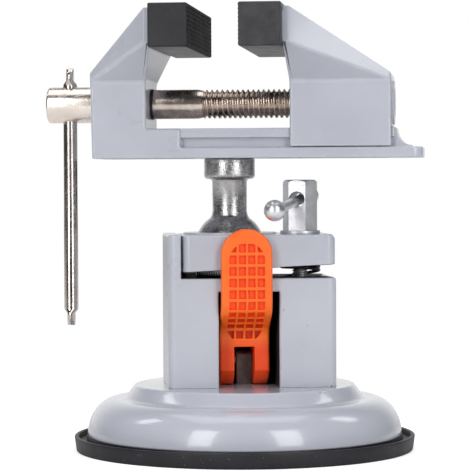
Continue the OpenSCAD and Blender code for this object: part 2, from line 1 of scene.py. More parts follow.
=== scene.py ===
"""Dresses a suction base vise: grey castings, black rubber, plated steel and an orange cam lever.

Lengths in the classes are in millimetres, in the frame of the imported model: +Z is up, -Y is the front.
The head's pieces are drawn along X from the ball stud and then turned with the head.
"""

import logging
import math
from dataclasses import dataclass, replace
from enum import Enum
from typing import Callable, Optional, Sequence

import bmesh
import bpy
from mathutils import Matrix, Vector


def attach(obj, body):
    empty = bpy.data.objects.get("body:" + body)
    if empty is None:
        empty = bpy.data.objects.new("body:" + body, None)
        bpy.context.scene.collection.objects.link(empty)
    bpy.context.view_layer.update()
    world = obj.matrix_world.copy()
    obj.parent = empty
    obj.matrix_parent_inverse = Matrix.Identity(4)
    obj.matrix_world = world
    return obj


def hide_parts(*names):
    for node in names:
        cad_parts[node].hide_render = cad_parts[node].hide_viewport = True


LOG = logging.getLogger("vise")
MM = 0.001
Pair = tuple[float, float]
Triple = tuple[float, float, float]
Piece = bpy.types.Object
Socket = bpy.types.NodeSocket
EdgeShare = Callable[[Vector, float], float]
FaceTest = Callable[[Vector, Vector], bool]

# Where the ball and the clamp screw stand along X, and how close points are that become one.
BALL_X = -5.2
SCREW_X = 20.8
WELD = 0.002
WHITE = (1.0, 1.0, 1.0)


class Body(Enum):
    """The rigid bodies that pieces ride on."""

    BASE = "base"
    STEM = "stem"
    LEVER = "lever"
    PLATE = "plate"
    WASHER = "washer"
    CLAMP_SCREW = "clamp_screw"
    CLAMP_BAR = "clamp_bar"
    STUD = "stud"
    HEAD = "head"
    JAW = "jaw"
    SCREW = "screw"
    TOMMY = "tommy"


class Slot(Enum):
    """The record's material slots."""

    GREY_PAINT = "grey_paint"
    CUP_RUBBER = "cup_rubber"
    PAD_RUBBER = "pad_rubber"
    LEVER_PLASTIC = "lever_plastic"
    RAW_STEEL = "raw_steel"
    ZINC_STEEL = "zinc_steel"
    BLACK_STEEL = "black_steel"
    NICKEL_STEEL = "nickel_steel"


# ------------------------------------------------------------------ finishes


class Nodes:
    """A tree of nodes, added and linked one after another."""

    def __init__(self, tree: bpy.types.NodeTree) -> None:
        """Takes a tree and empties it."""
        self.tree = tree
        tree.nodes.clear()

    def add(self, kind: str, feeds: Optional[dict] = None, **values: object) -> bpy.types.Node:
        """Adds a node.

        Args:
            kind: The node's type.
            feeds: What goes into its inputs, by their name or number: sockets, numbers, vectors or colours.
            **values: Properties to set on it.

        Returns:
            The new node.
        """
        node = self.tree.nodes.new(kind)
        for key, value in values.items():
            setattr(node, key, value)
        for key, value in (feeds or {}).items():
            socket = node.inputs[key]
            if isinstance(value, Socket):
                self.tree.links.new(value, socket)
            else:
                socket.default_value = (*value, 1.0) if socket.type == "RGBA" else value
        return node

    def maths(self, kind: str, a: object, b: object) -> Socket:
        """The result of a Math node on two sockets or numbers."""
        return self.add("ShaderNodeMath", {0: a, 1: b}, operation=kind).outputs["Value"]

    def plus(self, value: Socket, other: Socket, share: float) -> Socket:
        """One value with a share of another added to it."""
        return self.maths("ADD", value, self.maths("MULTIPLY", other, share))

    def ramp(self, value: Socket, low: float, high: float, to_low: float = 0.0,
             to_high: float = 1.0) -> Socket:
        """Maps a value smoothly from one range to another."""
        feeds = {"Value": value, "From Min": low, "From Max": high, "To Min": to_low, "To Max": to_high}
        return self.add("ShaderNodeMapRange", feeds, interpolation_type="SMOOTHSTEP").outputs["Result"]

    def blend(self, factor: Socket, a: Socket, b: Socket) -> Socket:
        """Blends two shaders by a factor, which is how much of the second there is."""
        return self.add("ShaderNodeMixShader", {0: factor, 1: a, 2: b}).outputs["Shader"]


class Wiring(Nodes):
    """A material's nodes, which read object coordinates."""

    def __init__(self, name: str) -> None:
        """Starts a material.

        Args:
            name: The material's name.
        """
        self.material = bpy.data.materials.new(name)
        self.material.use_nodes = True
        super().__init__(self.material.node_tree)
        self.place = self.add("ShaderNodeTexCoord").outputs["Object"]

    def noise(self, scale: float, detail: float, stretch: Triple = (1, 1, 1), rough: float = 0.5,
              shift: float = 0.0) -> Socket:
        """Adds noise over the piece.

        Args:
            scale: Features for each metre.
            detail: Octaves of finer noise.
            stretch: Scale along each axis.
            rough: Strength of the finer octaves.
            shift: Moves the pattern, so that two layers differ.

        Returns:
            The noise value, from 0 to 1.
        """
        feeds = {"Vector": self.place, "Scale": stretch, "Location": (shift, shift * 0.7, -shift)}
        spot = self.add("ShaderNodeMapping", feeds).outputs["Vector"]
        feeds = {"Vector": spot, "Scale": scale, "Detail": detail, "Roughness": rough}
        return self.add("ShaderNodeTexNoise", feeds).outputs["Fac"]

    def mix(self, factor: Socket, a: object, b: object) -> Socket:
        """Blends two colours or sockets by a factor, which is how much of the second there is."""
        return self.add("ShaderNodeMix", {"Factor": factor, 6: a, 7: b}, data_type="RGBA").outputs[2]

    def spot(self, centre: Triple, radius: float) -> Socket:
        """Marks a small ragged spot.

        Args:
            centre: The spot's place, in millimetres.
            radius: Its radius, in millimetres.

        Returns:
            1 inside the spot and 0 outside.
        """
        middle = tuple(v * MM for v in centre)
        reach = self.add("ShaderNodeVectorMath", {0: self.place, 1: middle}, operation="DISTANCE")
        edge = self.plus(reach.outputs["Value"], self.noise(2600, 2), radius * MM)
        return self.ramp(edge, radius * MM * 1.1, radius * MM * 1.4, 1.0, 0.0)

    def surfaced(self, surface: Socket) -> bpy.types.Material:
        """Puts a shader on the material's surface and gives the material."""
        self.add("ShaderNodeOutputMaterial", {"Surface": surface})
        return self.material


@dataclass(frozen=True)
class Finish:
    """A procedural surface: two mottled colours, specks, fine scratches and a grain that stands in relief.

    Brushed lines run across the axis along which their pattern has the largest scale. Chips show bare metal
    at places given in millimetres, and a darker colour can take over below a height, as painted shade.
    """

    name: str
    colour: Triple
    shade: Triple
    roughness: float
    metallic: float = 0.0
    rough_spread: float = 0.08
    mottle: float = 70.0
    grain: float = 1400.0
    grain_height: float = 0.04
    brush: Triple = (1.0, 1.0, 1.0)
    brush_height: float = 0.0
    speck: float = 0.0
    speck_colour: Triple = (0.6, 0.6, 0.6)
    speck_band: Pair = (0.80, 0.84)
    scratch: float = 0.0
    scratch_ways: tuple[Triple, ...] = ((1.0, 14.0, 9.0), (11.0, 1.0, 12.0))
    coat: float = 0.0
    coat_roughness: float = 0.08
    specular: float = 0.5
    chips: tuple[tuple[Triple, float], ...] = ()
    bare_metal: Triple = (0.055, 0.05, 0.048)
    painted_shade_colour: Optional[Triple] = None
    painted_shade_fade: Pair = (36.0, 43.0)
    bump_strength: float = 0.35
    bump_height: float = 0.0006

    def material(self) -> bpy.types.Material:
        """Builds the finish, or gives the one already built.

        Returns:
            The material.
        """
        made = bpy.data.materials.get(self.name)
        if made:
            return made
        w = Wiring(self.name)
        cloud = w.noise(self.mottle, 4, rough=0.6)
        half = self.rough_spread / 2
        colour = w.mix(w.ramp(cloud, 0.32, 0.68), self.colour, self.shade)
        rough = w.ramp(cloud, 0.3, 0.7, self.roughness + half, self.roughness - half)
        height = w.maths("MULTIPLY", w.noise(self.grain, 2, shift=0.31), self.grain_height)
        if self.brush_height:
            lines = w.noise(300, 3, self.brush, 0.7, 0.17)
            height = w.plus(height, lines, self.brush_height)
            rough = w.maths("ADD", rough, w.ramp(lines, 0.35, 0.65, -0.05, 0.07))
        for way in self.scratch_ways if self.scratch else ():
            streak = w.ramp(w.noise(60, 2, way, 0.4, way[0] * 0.05), 0.66, 0.70)
            rough = w.plus(rough, streak, self.scratch * 0.5)
            height = w.plus(height, streak, self.scratch * -0.1)
        if self.speck:
            low, high = (edge - self.speck for edge in self.speck_band)
            dots = w.ramp(w.noise(self.grain * 0.8, 1, shift=0.53), low, high, 0.0, 0.7)
            colour = w.mix(dots, colour, self.speck_colour)
        # Painted shade: below a height the colour fades to a darker one, standing in for shade low down.
        if self.painted_shade_colour:
            rise = w.add("ShaderNodeSeparateXYZ", {"Vector": w.place}).outputs["Z"]
            low, high = (edge * MM for edge in self.painted_shade_fade)
            colour = w.mix(w.ramp(rise, low, high, 1.0, 0.0), colour, self.painted_shade_colour)
        for centre, radius in self.chips:
            bare = w.spot(centre, radius)
            colour = w.mix(bare, colour, self.bare_metal)
            height = w.plus(height, bare, -0.2)
        feeds = {"Height": height, "Strength": self.bump_strength, "Distance": self.bump_height}
        relief = w.add("ShaderNodeBump", feeds).outputs["Normal"]
        feeds = {"Base Color": colour, "Roughness": rough, "Metallic": self.metallic, "Normal": relief,
                 "Specular IOR Level": self.specular, "Coat Weight": self.coat,
                 "Coat Roughness": self.coat_roughness}
        return w.surfaced(w.add("ShaderNodeBsdfPrincipled", feeds).outputs["BSDF"])


PAINT = Finish(
    "grey enamel", (0.475, 0.49, 0.555), (0.435, 0.45, 0.51), 0.30, rough_spread=0.06, mottle=28, grain=700,
    grain_height=0.05, coat=0.35, coat_roughness=0.10, scratch=0.08, speck=0.02,
    speck_colour=(0.22, 0.22, 0.24))
BLOCK_PAINT = replace(
    PAINT, name="grey enamel on the block", colour=(0.50, 0.515, 0.58), shade=(0.46, 0.475, 0.535),
    grain_height=0.06, chips=(((29.6, -19.6, 24.2), 0.6), ((27.6, -19.8, 24.1), 0.4)))
# Painted highlight: a lighter, a little shinier copy of the enamel for the rounded edges, standing in for the
# light they catch; on the block it is close to the block's own paint.
EDGE_HIGHLIGHT_PAINT = replace(
    PAINT, name="grey enamel on the rounded edges, a painted highlight", colour=(0.495, 0.51, 0.575), shade=(0.46, 0.475, 0.535),
    roughness=0.28, rough_spread=0.08, mottle=60, scratch=0.0, speck=0.0)
# Painted shade: a near-black copy of the paint for faces deep in the lever's slot, in the gap under the plate
# and under the plate, where shade falls.
SHADED_PAINT = Finish(
    "near-black painted shade in the hollows", (0.030, 0.030, 0.033), (0.020, 0.020, 0.022), 0.60, mottle=60,
    grain=700, grain_height=0.1, specular=0.2)
DOME_PAINT = Finish(
    "grey enamel on the dome", (0.485, 0.50, 0.575), (0.47, 0.485, 0.555), 0.26, rough_spread=0.02,
    mottle=22, grain=420, grain_height=0.03, coat=0.7,
    chips=(((24.0, -33.0, 23.6), 0.5), ((-9.0, -56.0, 9.0), 0.3)))
CUP_RUBBER = Finish(
    "black cup rubber", (0.0055, 0.0048, 0.009), (0.010, 0.009, 0.015), 0.48, mottle=90, grain=1500,
    grain_height=0.25, speck=0.07, speck_colour=(0.16, 0.16, 0.17))
PAD_RUBBER = Finish(
    "charcoal pad rubber", (0.009, 0.009, 0.013), (0.015, 0.015, 0.020), 0.40, mottle=120, grain=1900,
    grain_height=0.3, speck=0.03, speck_colour=(0.12, 0.12, 0.13), specular=0.4)
WORN_RUBBER = replace(
    PAD_RUBBER, name="rubbed charcoal rubber", colour=(0.026, 0.026, 0.030), shade=(0.046, 0.046, 0.052),
    roughness=0.42, mottle=150, grain_height=0.35, speck=0.04, speck_colour=(0.13, 0.13, 0.14))
RIBBED_RUBBER = replace(
    PAD_RUBBER, name="charcoal rubber on the ribs", colour=(0.010, 0.010, 0.013),
    shade=(0.016, 0.016, 0.020), roughness=0.70, speck_colour=(0.10, 0.10, 0.11), specular=0.15)
# The lever's darker orange below 36 to 43 mm is painted shade on its legs down in the slot.
LEVER_PLASTIC = Finish(
    "orange lever plastic", (1.0, 0.165, 0.018), (0.94, 0.14, 0.014), 0.36, mottle=55, grain=1100,
    grain_height=0.08, coat=0.05, coat_roughness=0.2, scratch=0.08, specular=0.35,
    painted_shade_colour=(0.88, 0.070, 0.006))
# Painted shade: a deeper orange for the cells' inner faces, standing in for the shade in the recesses, and
# darker still low down on the lever.
CELL_SHADE_PLASTIC = Finish(
    "orange with painted shade in the cells", (1.0, 0.105, 0.012), (0.92, 0.09, 0.010), 0.46, mottle=55, grain=1100,
    grain_height=0.08, specular=0.3, painted_shade_colour=(0.70, 0.042, 0.005), painted_shade_fade=(43.0, 54.0))
RAW_STEEL = Finish(
    "bare turned steel", (0.52, 0.51, 0.515), (0.37, 0.365, 0.37), 0.25, 0.97, 0.12, mottle=260, grain=1700,
    grain_height=0.40, brush=(1.0, 1.0, 10.0), brush_height=0.16, speck=0.07,
    speck_colour=(0.07, 0.06, 0.055))
POST_STEEL = Finish(
    "oiled post steel", (0.13, 0.105, 0.095), (0.085, 0.07, 0.065), 0.42, 0.8, 0.12, mottle=200, grain=1500,
    grain_height=0.4, speck=0.05, speck_colour=(0.03, 0.025, 0.02))
ZINC = Finish(
    "zinc plating", (0.80, 0.81, 0.84), (0.70, 0.71, 0.74), 0.46, 1.0, 0.10, mottle=220, grain=1900,
    grain_height=0.10, brush=(1.0, 1.0, 6.0), brush_height=0.08, scratch=0.15, speck=0.02,
    speck_colour=(0.35, 0.35, 0.36))
BAR_ZINC = Finish(
    "bright zinc on the cross bar", (0.84, 0.85, 0.87), (0.76, 0.77, 0.79), 0.36, 1.0, mottle=180,
    grain=1700, grain_height=0.10, speck=0.015, speck_colour=(0.30, 0.30, 0.31))
BLACK_STEEL = Finish(
    "blackened steel", (0.022, 0.022, 0.024), (0.04, 0.038, 0.036), 0.34, 0.6, 0.12, mottle=300, grain=1600,
    grain_height=0.2, speck=0.03, speck_colour=(0.10, 0.09, 0.08))
NICKEL = Finish(
    "warm nickel plating", (0.93, 0.835, 0.765), (0.85, 0.76, 0.69), 0.25, 1.0, mottle=180, grain=1500,
    grain_height=0.08, scratch=0.25, speck=0.015, speck_colour=(0.30, 0.26, 0.22))
# Painted shade: a darker copy of the nickel plating for the tommy bar, while the knob and shank keep the
# bright one.
SHADED_ROD_NICKEL = replace(
    NICKEL, name="nickel plating on the bar, darkened as painted shade", colour=(0.70, 0.635, 0.59), shade=(0.60, 0.545, 0.505),
    roughness=0.13, rough_spread=0.06, grain_height=0.06, scratch=0.2, speck_colour=(0.26, 0.22, 0.19))
THREAD_NICKEL = replace(
    NICKEL, name="nickel plating on the thread", colour=(0.76, 0.66, 0.585), shade=(0.55, 0.47, 0.41),
    roughness=0.23, rough_spread=0.12, mottle=240, grain=1700, grain_height=0.15, scratch=0.15, speck=0.04,
    speck_colour=(0.14, 0.12, 0.10))
# The second finish goes on the rounded edges as a painted highlight.
ENAMEL = (PAINT, EDGE_HIGHLIGHT_PAINT)


# ------------------------------------------------------------------ shaping tools


def deselect() -> None:
    """Goes to object mode with nothing selected."""
    if bpy.context.object and bpy.context.object.mode != "OBJECT":
        bpy.ops.object.mode_set(mode="OBJECT")
    bpy.ops.object.select_all(action="DESELECT")


def activate(piece: Piece) -> None:
    """Selects one piece and makes it the active one."""
    deselect()
    piece.select_set(True)
    bpy.context.view_layer.objects.active = piece


def edit(mode: int = 0) -> None:
    """Opens edit mode on the active piece, for vertices (0), edges (1) or faces (2)."""
    bpy.context.tool_settings.mesh_select_mode = tuple(i == mode for i in range(3))
    bpy.ops.object.mode_set(mode="EDIT")


def edit_all() -> None:
    """Opens edit mode on the active piece with all of it selected."""
    edit()
    bpy.ops.mesh.select_all(action="SELECT")


def pick(piece: Piece, test: FaceTest) -> None:
    """Selects faces and leaves the piece in edit mode.

    Args:
        piece: The piece.
        test: Says whether a face with that middle, in millimetres, and normal is wanted.
    """
    bpy.ops.object.mode_set(mode="OBJECT")
    mesh = piece.data
    for group in (mesh.vertices, mesh.edges):
        group.foreach_set("select", [False] * len(group))
    mesh.polygons.foreach_set("select", [test(face.center / MM, face.normal) for face in mesh.polygons])
    edit(2)


def extrude(reach: float) -> None:
    """Extrudes the selected faces along X, by millimetres."""
    bpy.ops.mesh.extrude_region_move(TRANSFORM_OT_translate={"value": (reach * MM, 0, 0)})


class Keep(Enum):
    """What stays when a piece is cut at a level: whether what is below goes, and what is above."""

    BOTH = (False, False)
    ABOVE = (True, False)
    BELOW = (False, True)


def cut_level(height: float, keep: Keep = Keep.BOTH) -> None:
    """Cuts the active piece along a level line, and closes it where one side goes.

    Args:
        height: The line's height, in millimetres.
        keep: Which side stays.
    """
    edit_all()
    below_goes, above_goes = keep.value
    bpy.ops.mesh.bisect(plane_co=(0, 0, height * MM), plane_no=(0, 0, 1), use_fill=keep is not Keep.BOTH,
                        clear_inner=below_goes, clear_outer=above_goes)
    bpy.ops.object.mode_set(mode="OBJECT")


def apply_all(piece: Piece) -> None:
    """Applies every modifier of a piece."""
    activate(piece)
    for modifier in list(piece.modifiers):
        bpy.ops.object.modifier_apply(modifier=modifier.name)


def smooth(piece: Piece, angle: float = 32.0) -> None:
    """Shades a piece smooth, with creases above an angle in degrees."""
    activate(piece)
    bpy.ops.object.shade_smooth_by_angle(angle=math.radians(angle), keep_sharp_edges=False)


def lay(piece: Piece, place: Matrix) -> Piece:
    """Moves a piece's mesh to its place and gives the piece."""
    piece.data.transform(place)
    piece.data.update()
    return piece


def moved(x: float, y: float, z: float) -> Matrix:
    """A shift in millimetres."""
    return Matrix.Translation((x * MM, y * MM, z * MM))


def turn(angle: float, axis: str) -> Matrix:
    """A turn in degrees about an axis."""
    return Matrix.Rotation(math.radians(angle), 4, axis)


def arc(centre: Pair, radius: float, start: float, end: float, steps: int,
        tall: Optional[float] = None) -> list[Pair]:
    """Points of an arc or of part of an ellipse.

    Args:
        centre: Its centre.
        radius: Its radius across.
        start: The first angle, in degrees.
        end: The last angle.
        steps: How many steps it has.
        tall: Its radius upwards, where that differs.

    Returns:
        The points.
    """
    up = radius if tall is None else tall
    angles = [math.radians(start + (end - start) * i / steps) for i in range(steps + 1)]
    return [(centre[0] + radius * math.cos(a), centre[1] + up * math.sin(a)) for a in angles]


def barrel(inner: float, outer: float, low: float, high: float, inset: float, rise: float) -> list[Pair]:
    """The outline of a pin or a ring whose outer edges are broken, with their inset and rise."""
    edge = outer - inset
    return [(inner, low), (edge, low), (outer, low + rise), (outer, high - rise), (edge, high), (inner, high)]


def drawn_line(name: str, points: Sequence[Triple]) -> Piece:
    """Draws a line of edges by extruding one vertex from point to point.

    Args:
        name: The piece's name.
        points: The points, in millimetres.

    Returns:
        The piece, in edit mode.
    """
    deselect()
    bpy.ops.mesh.primitive_plane_add(size=MM)
    piece = bpy.context.object
    piece.name = piece.data.name = name
    edit_all()
    bpy.ops.mesh.merge(type="CENTER")
    spots = [Vector(p) * MM for p in points]
    bpy.ops.transform.translate(value=spots[0])
    for here, there in zip(spots, spots[1:]):
        bpy.ops.mesh.extrude_vertices_move(TRANSFORM_OT_translate={"value": there - here})
    return piece


def turned(name: str, profile: Sequence[Pair], steps: int = 96, closed: bool = False) -> Piece:
    """Turns a profile about Z, as on a lathe.

    Args:
        name: The piece's name.
        profile: Points (radius, height), in millimetres.
        steps: Steps round the axis.
        closed: True if the profile is a loop that stays clear of the axis.

    Returns:
        The piece.
    """
    loop = [*profile, profile[0]] if closed else profile
    piece = drawn_line(name, [(r, 0.0, z) for r, z in loop])
    bpy.ops.mesh.select_all(action="SELECT")
    bpy.ops.mesh.spin(steps=steps, angle=math.tau, center=(0, 0, 0), axis=(0, 0, 1))
    bpy.ops.mesh.select_all(action="SELECT")
    bpy.ops.mesh.remove_doubles(threshold=WELD * MM)
    bpy.ops.mesh.normals_make_consistent(inside=False)
    smooth(piece)
    return piece


def threaded(name: str, root: float, crest: float, pitch: float, low: float, high: float,
             steps: int) -> Piece:
    """Cuts a real thread about Z and faces both its ends square.

    Args:
        name: The piece's name.
        root: Radius at the bottom of the thread.
        crest: Radius over it.
        pitch: Distance from turn to turn.
        low: Height of its lower end.
        high: Height of its upper end.
        steps: Steps round the axis.

    Returns:
        The piece.
    """
    flank = [(0.0, 0.0), (0.10, 0.12), (0.36, 0.88), (0.44, 1.0), (0.54, 1.0), (0.62, 0.88), (0.88, 0.12),
             (1.0, 0.0)]
    start = low - 1.5 * pitch
    piece = drawn_line(name, [(root + (crest - root) * out, 0.0, start + pitch * up) for up, out in flank])
    bpy.ops.object.mode_set(mode="OBJECT")
    screw = piece.modifiers.new("Thread", "SCREW")
    screw.axis = "Z"
    screw.angle = math.tau
    screw.screw_offset = pitch * MM
    screw.iterations = math.ceil((high - low) / pitch) + 3
    screw.steps = screw.render_steps = steps
    screw.use_merge_vertices = True
    screw.merge_threshold = WELD * MM
    apply_all(piece)
    cut_level(low, Keep.ABOVE)
    cut_level(high, Keep.BELOW)
    edit_all()
    bpy.ops.mesh.normals_make_consistent(inside=False)
    smooth(piece, 40)
    return piece


def joined(pieces: Sequence[Piece]) -> Piece:
    """Joins pieces into the first of them.

    Args:
        pieces: The pieces.

    Returns:
        The joined piece.
    """
    activate(pieces[0])
    for piece in pieces:
        piece.select_set(True)
    bpy.ops.object.join()
    return pieces[0]


def merged_copy(node: str, name: str, reach: float = 0.003) -> Piece:
    """Copies a CAD node's mesh, merges it and makes its flat faces whole.

    Args:
        node: The CAD node.
        name: The new piece's name.
        reach: Points closer than this become one, in millimetres.

    Returns:
        The copy.
    """
    deselect()
    piece = bpy.data.objects.new(name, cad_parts[node].data.copy())
    piece.data.name = name
    piece.data.materials.clear()
    bpy.context.collection.objects.link(piece)
    activate(piece)
    edit_all()
    bpy.ops.mesh.customdata_custom_splitnormals_clear()
    bpy.ops.mesh.remove_doubles(threshold=MM * reach)
    bpy.ops.mesh.dissolve_limited(angle_limit=math.radians(0.5))
    bpy.ops.object.mode_set(mode="OBJECT")
    return piece


def soften(piece: Piece, width: float, share: Optional[EdgeShare] = None, sharp: float = 28.0,
           segments: int = 3, finishes: Sequence[Finish] = ()) -> Piece:
    """Rounds a piece's sharp edges, each by its own share of a width.

    Args:
        piece: The piece.
        width: The full width, in millimetres.
        share: Gives an edge's share from its middle, in millimetres, and its length.
        sharp: Edges that turn by more than this many degrees are rounded.
        segments: Steps across each rounded edge.
        finishes: The piece's finishes, the last of which goes on the rounded edges.

    Returns:
        The same piece.
    """
    for finish in finishes:
        piece.data.materials.append(finish.material())
    reading = bmesh.new()
    reading.from_mesh(piece.data)
    shares = []
    for line in reading.edges:
        middle = (line.verts[0].co + line.verts[1].co) / 2 / MM
        own = share(middle, line.calc_length() / MM) if share else 1.0
        shares.append(own if math.degrees(line.calc_face_angle(0.0)) > sharp else 0.0)
    reading.free()
    piece.data.attributes.new("bevel_weight_edge", "FLOAT", "EDGE").data.foreach_set("value", shares)
    rounding = piece.modifiers.new("Rounding", "BEVEL")
    rounding.limit_method = "WEIGHT"
    rounding.width = width * MM
    rounding.segments = segments
    rounding.use_clamp_overlap = False
    rounding.miter_outer = "MITER_ARC"
    rounding.material = len(finishes) - 1
    apply_all(piece)
    smooth(piece)
    even = piece.modifiers.new("Even shading", "WEIGHTED_NORMAL")
    even.mode = "FACE_AREA_WITH_ANGLE"
    even.keep_sharp = True
    apply_all(piece)
    return piece


@dataclass
class SubAssembly:
    """Pieces that belong together."""

    def dress(self, piece: Piece, finish: Finish, body: Body, slot: Slot, node: str) -> None:
        """Gives a new piece its finish and lets it ride in the place of a CAD node.

        Args:
            piece: The new piece.
            finish: Its finish, if it has none yet.
            body: The body that it rides on.
            slot: The record's slot for the piece; not used.
            node: The CAD node that it stands for.
        """
        if not piece.data.materials:
            piece.data.materials.append(finish.material())
        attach(piece, body.value)
        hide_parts(node)
        LOG.info("%s: %d faces, on %s", piece.name, len(piece.data.polygons), body.value)

    def repaint(self, piece: Piece, finish: Finish, test: FaceTest) -> None:
        """Gives some faces of a dressed piece another finish.

        Args:
            piece: The piece.
            finish: The other finish.
            test: Says whether a face with that middle, in millimetres, and normal has it.
        """
        piece.data.materials.append(finish.material())
        for face in piece.data.polygons:
            if test(face.center / MM, face.normal):
                face.material_index = len(piece.data.materials) - 1

    def coat(self, node: str, finish: Finish) -> None:
        """Gives a CAD node that stays in view a finish.

        Args:
            node: The CAD node.
            finish: Its finish.
        """
        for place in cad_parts[node].material_slots:
            place.material = finish.material()
        LOG.info("%s: CAD piece, %s", node, finish.name)


# ------------------------------------------------------------------ suction base


@dataclass
class SuctionBase(SubAssembly):
    """The rubber cup, the dome on it, and the stem that pulls up the cup's middle."""

    cup_r: float = 62.5
    cup_h: float = 5.5
    seat_h: float = 3.2
    web_h: float = 4.2
    hub_r: float = 22.0
    hub_h: float = 9.4
    insert_r: float = 18.0
    insert_ends: Pair = (5.0, 7.0)
    stem_r: float = 5.0
    dome_r: float = 57.7
    dome_h: float = 24.0
    dome_top_r: float = 40.8
    dome_round: float = 10.7
    shoulder_h: float = 19.0
    fillet: float = 2.4
    top_round: float = 1.2
    ceiling: float = 18.0
    boss_r: float = 6.4
    boss_spots: Pair = (20.5, 11.0)

    def cup(self) -> None:
        """Turns the rubber cup, with its lip, the seat of the dome's rim and the hub."""
        r, h, hub, dome = self.cup_r, self.cup_h, self.hub_r, self.dome_r
        low, high = self.insert_ends
        under = [(0.0, 0.5), (hub - 2, 0.5), (hub + 2, 0.3), (r - 11, 0.25), (r - 9.6, 0.05), (r - 6.8, 0.0),
                 (r - 6.3, 0.25), (r - 5.2, 0.25), (r - 4.7, 0.0), (r - 1.2, 0.0)]
        lip = [*arc((r - 1.15, 0.5), 0.5, -90, -8, 4), (r - 0.25, self.seat_h),
               *arc((r - 0.45, h - 0.45), 0.45, 0, 90, 5), *arc((r - 1.15, h - 0.35), 0.35, 90, 180, 4),
               (r - 2.0, self.seat_h + 0.3), (r - 2.6, self.seat_h), (dome + 0.5, self.seat_h),
               (dome + 0.15, h - 0.1), (dome + 0.1, h)]
        inside = [(dome - 7, h), (dome - 10, self.web_h), (hub + 3, self.web_h),
                  (hub + 1.4, self.web_h + 0.7), (hub, self.hub_h - 0.5), (hub - 0.6, self.hub_h),
                  (self.stem_r, self.hub_h), (self.stem_r, high), (self.insert_r, high),
                  (self.insert_r, low), (0.0, low)]
        piece = turned("rubber_cup", under + lip + inside, 160)
        self.dress(piece, CUP_RUBBER, Body.BASE, Slot.CUP_RUBBER, "suction_cup")

    def dome(self) -> None:
        """Turns the dome with its wall, and sets the bosses for the screws under its top."""
        r, h, top_r, bore = self.dome_r, self.cup_h, self.dome_top_r, self.stem_r + 0.05
        middle = (r - self.dome_round, h + 0.5)
        foot = top_r + 4.2
        sweep = [(foot - self.fillet * math.sin(a), self.shoulder_h + self.fillet * (1 - math.cos(a)))
                 for a in map(math.radians, range(0, 57, 7))]
        outside = [(r - 0.3, h), (r, h + 0.3),
                   *arc(middle, self.dome_round, 0, 90, 32, self.shoulder_h - middle[1]), *sweep,
                   *arc((top_r - self.top_round, self.dome_h - self.top_round), self.top_round, 20, 90, 7)]
        inside = [(bore, self.dome_h), (bore, 11.7), (9.0, 11.7), (9.0, self.ceiling - 0.8),
                  (9.8, self.ceiling), (top_r - 2, self.ceiling), (r - 15, self.shoulder_h - 3),
                  (r - 8, h + 8.8), (r - 3.5, h + 4), (r - 3, h)]
        shell = turned("dome_shell", outside + inside, 160, closed=True)
        across, along = self.boss_spots
        bosses = [self.screw_boss(x, y) for x in (-across, across) for y in (-along, along)]
        self.dress(joined([shell, *bosses]), DOME_PAINT, Body.BASE, Slot.GREY_PAINT, "base_dome")

    def screw_boss(self, x: float, y: float) -> Piece:
        """Turns one boss under the dome's top, counterbored for a screw's head.

        Args:
            x: Its place across.
            y: Its place from front to back.

        Returns:
            The boss.
        """
        top, seat, low = self.dome_h - 5.5, self.dome_h - 8, self.dome_h - 11
        profile = [(2.6, top), (2.6, seat), (4.7, seat), (4.7, low), (self.boss_r - 0.4, low),
                   (self.boss_r, low + 0.4), (self.boss_r, top)]
        return lay(turned("screw_boss", profile, 40, closed=True), moved(x, y, 0))

    def build(self) -> None:
        """Builds the base's pieces and rounds the post that stands between the lever's legs."""
        self.cup()
        self.dome()
        stem = soften(merged_copy("pull_stem", "stem_post"), 0.35, sharp=40, segments=2)
        self.dress(stem, POST_STEEL, Body.STEM, Slot.RAW_STEEL, "pull_stem")
        self.coat("cup_insert", ZINC)


def off_axis(spot: Vector, x: float) -> float:
    """How far a point is from an upright axis at a place along X."""
    return math.hypot(spot.x - x, spot.y)


@dataclass
class ClampBlock(SubAssembly):
    """The block on the dome, and the screws that hold it from beneath."""

    rounding: float = 0.8
    foot_z: float = 24.2
    ball_seat_r: float = 14.5
    ball_seat_z: float = 50.0
    bore_seat_r: float = 9.0
    hinge_half: float = 15.0
    hinge: Pair = (62.0, 67.0)
    outside_x: float = 25.0
    outside_y: float = 16.0
    slot_half: float = 11.5
    slot_ends: Pair = (-18.6, 18.0)
    slot_top: float = 58.6
    gap: Pair = (60.0, 67.0)
    gap_end: float = 12.0
    wall_y: float = 18.6

    def edge_share(self, middle: Vector, length: float) -> float:
        """How much an edge is rounded: fully outside, a little at the ball's seat and the bores.

        Args:
            middle: The edge's middle.
            length: Its length.

        Returns:
            Its share of the full width.
        """
        at_ball = off_axis(middle, BALL_X) < self.ball_seat_r and middle.z > self.ball_seat_z
        at_bore = off_axis(middle, SCREW_X) < self.bore_seat_r
        at_hinge = abs(middle.y) < self.hinge_half and self.hinge[0] < middle.z < self.hinge[1]
        if middle.z < self.foot_z or at_ball or at_bore or at_hinge:
            return 0.25
        return 1.0 if abs(middle.y) > self.outside_y or abs(middle.x) > self.outside_x else 0.4

    def in_hollow(self, spot: Vector, normal: Vector) -> bool:
        """Tells the faces inside the lever's slot and the gap under the plate, which get painted shade.

        Args:
            spot: The face's middle.
            normal: Its normal.

        Returns:
            True inside a hollow.
        """
        front, back = self.slot_ends
        if abs(spot.x) < self.slot_half and front < spot.y < back and spot.z < self.slot_top:
            return True
        return (self.gap[0] < spot.z < self.gap[1] and spot.x < self.gap_end and abs(spot.y) < self.wall_y
                and abs(normal.y) < 0.5)

    def build(self) -> None:
        """Builds the block and coats its screws."""
        # The block's rounded edges get the enamel's painted highlight.
        block = soften(merged_copy("clamp_block", "block_casting"), self.rounding, self.edge_share,
                       finishes=(BLOCK_PAINT, EDGE_HIGHLIGHT_PAINT))
        self.dress(block, BLOCK_PAINT, Body.BASE, Slot.GREY_PAINT, "clamp_block")
        # Painted shade: the faces deep in the lever's slot and in the gap under the plate turn near-black.
        self.repaint(block, SHADED_PAINT, self.in_hollow)
        self.coat("block_screws", ZINC)


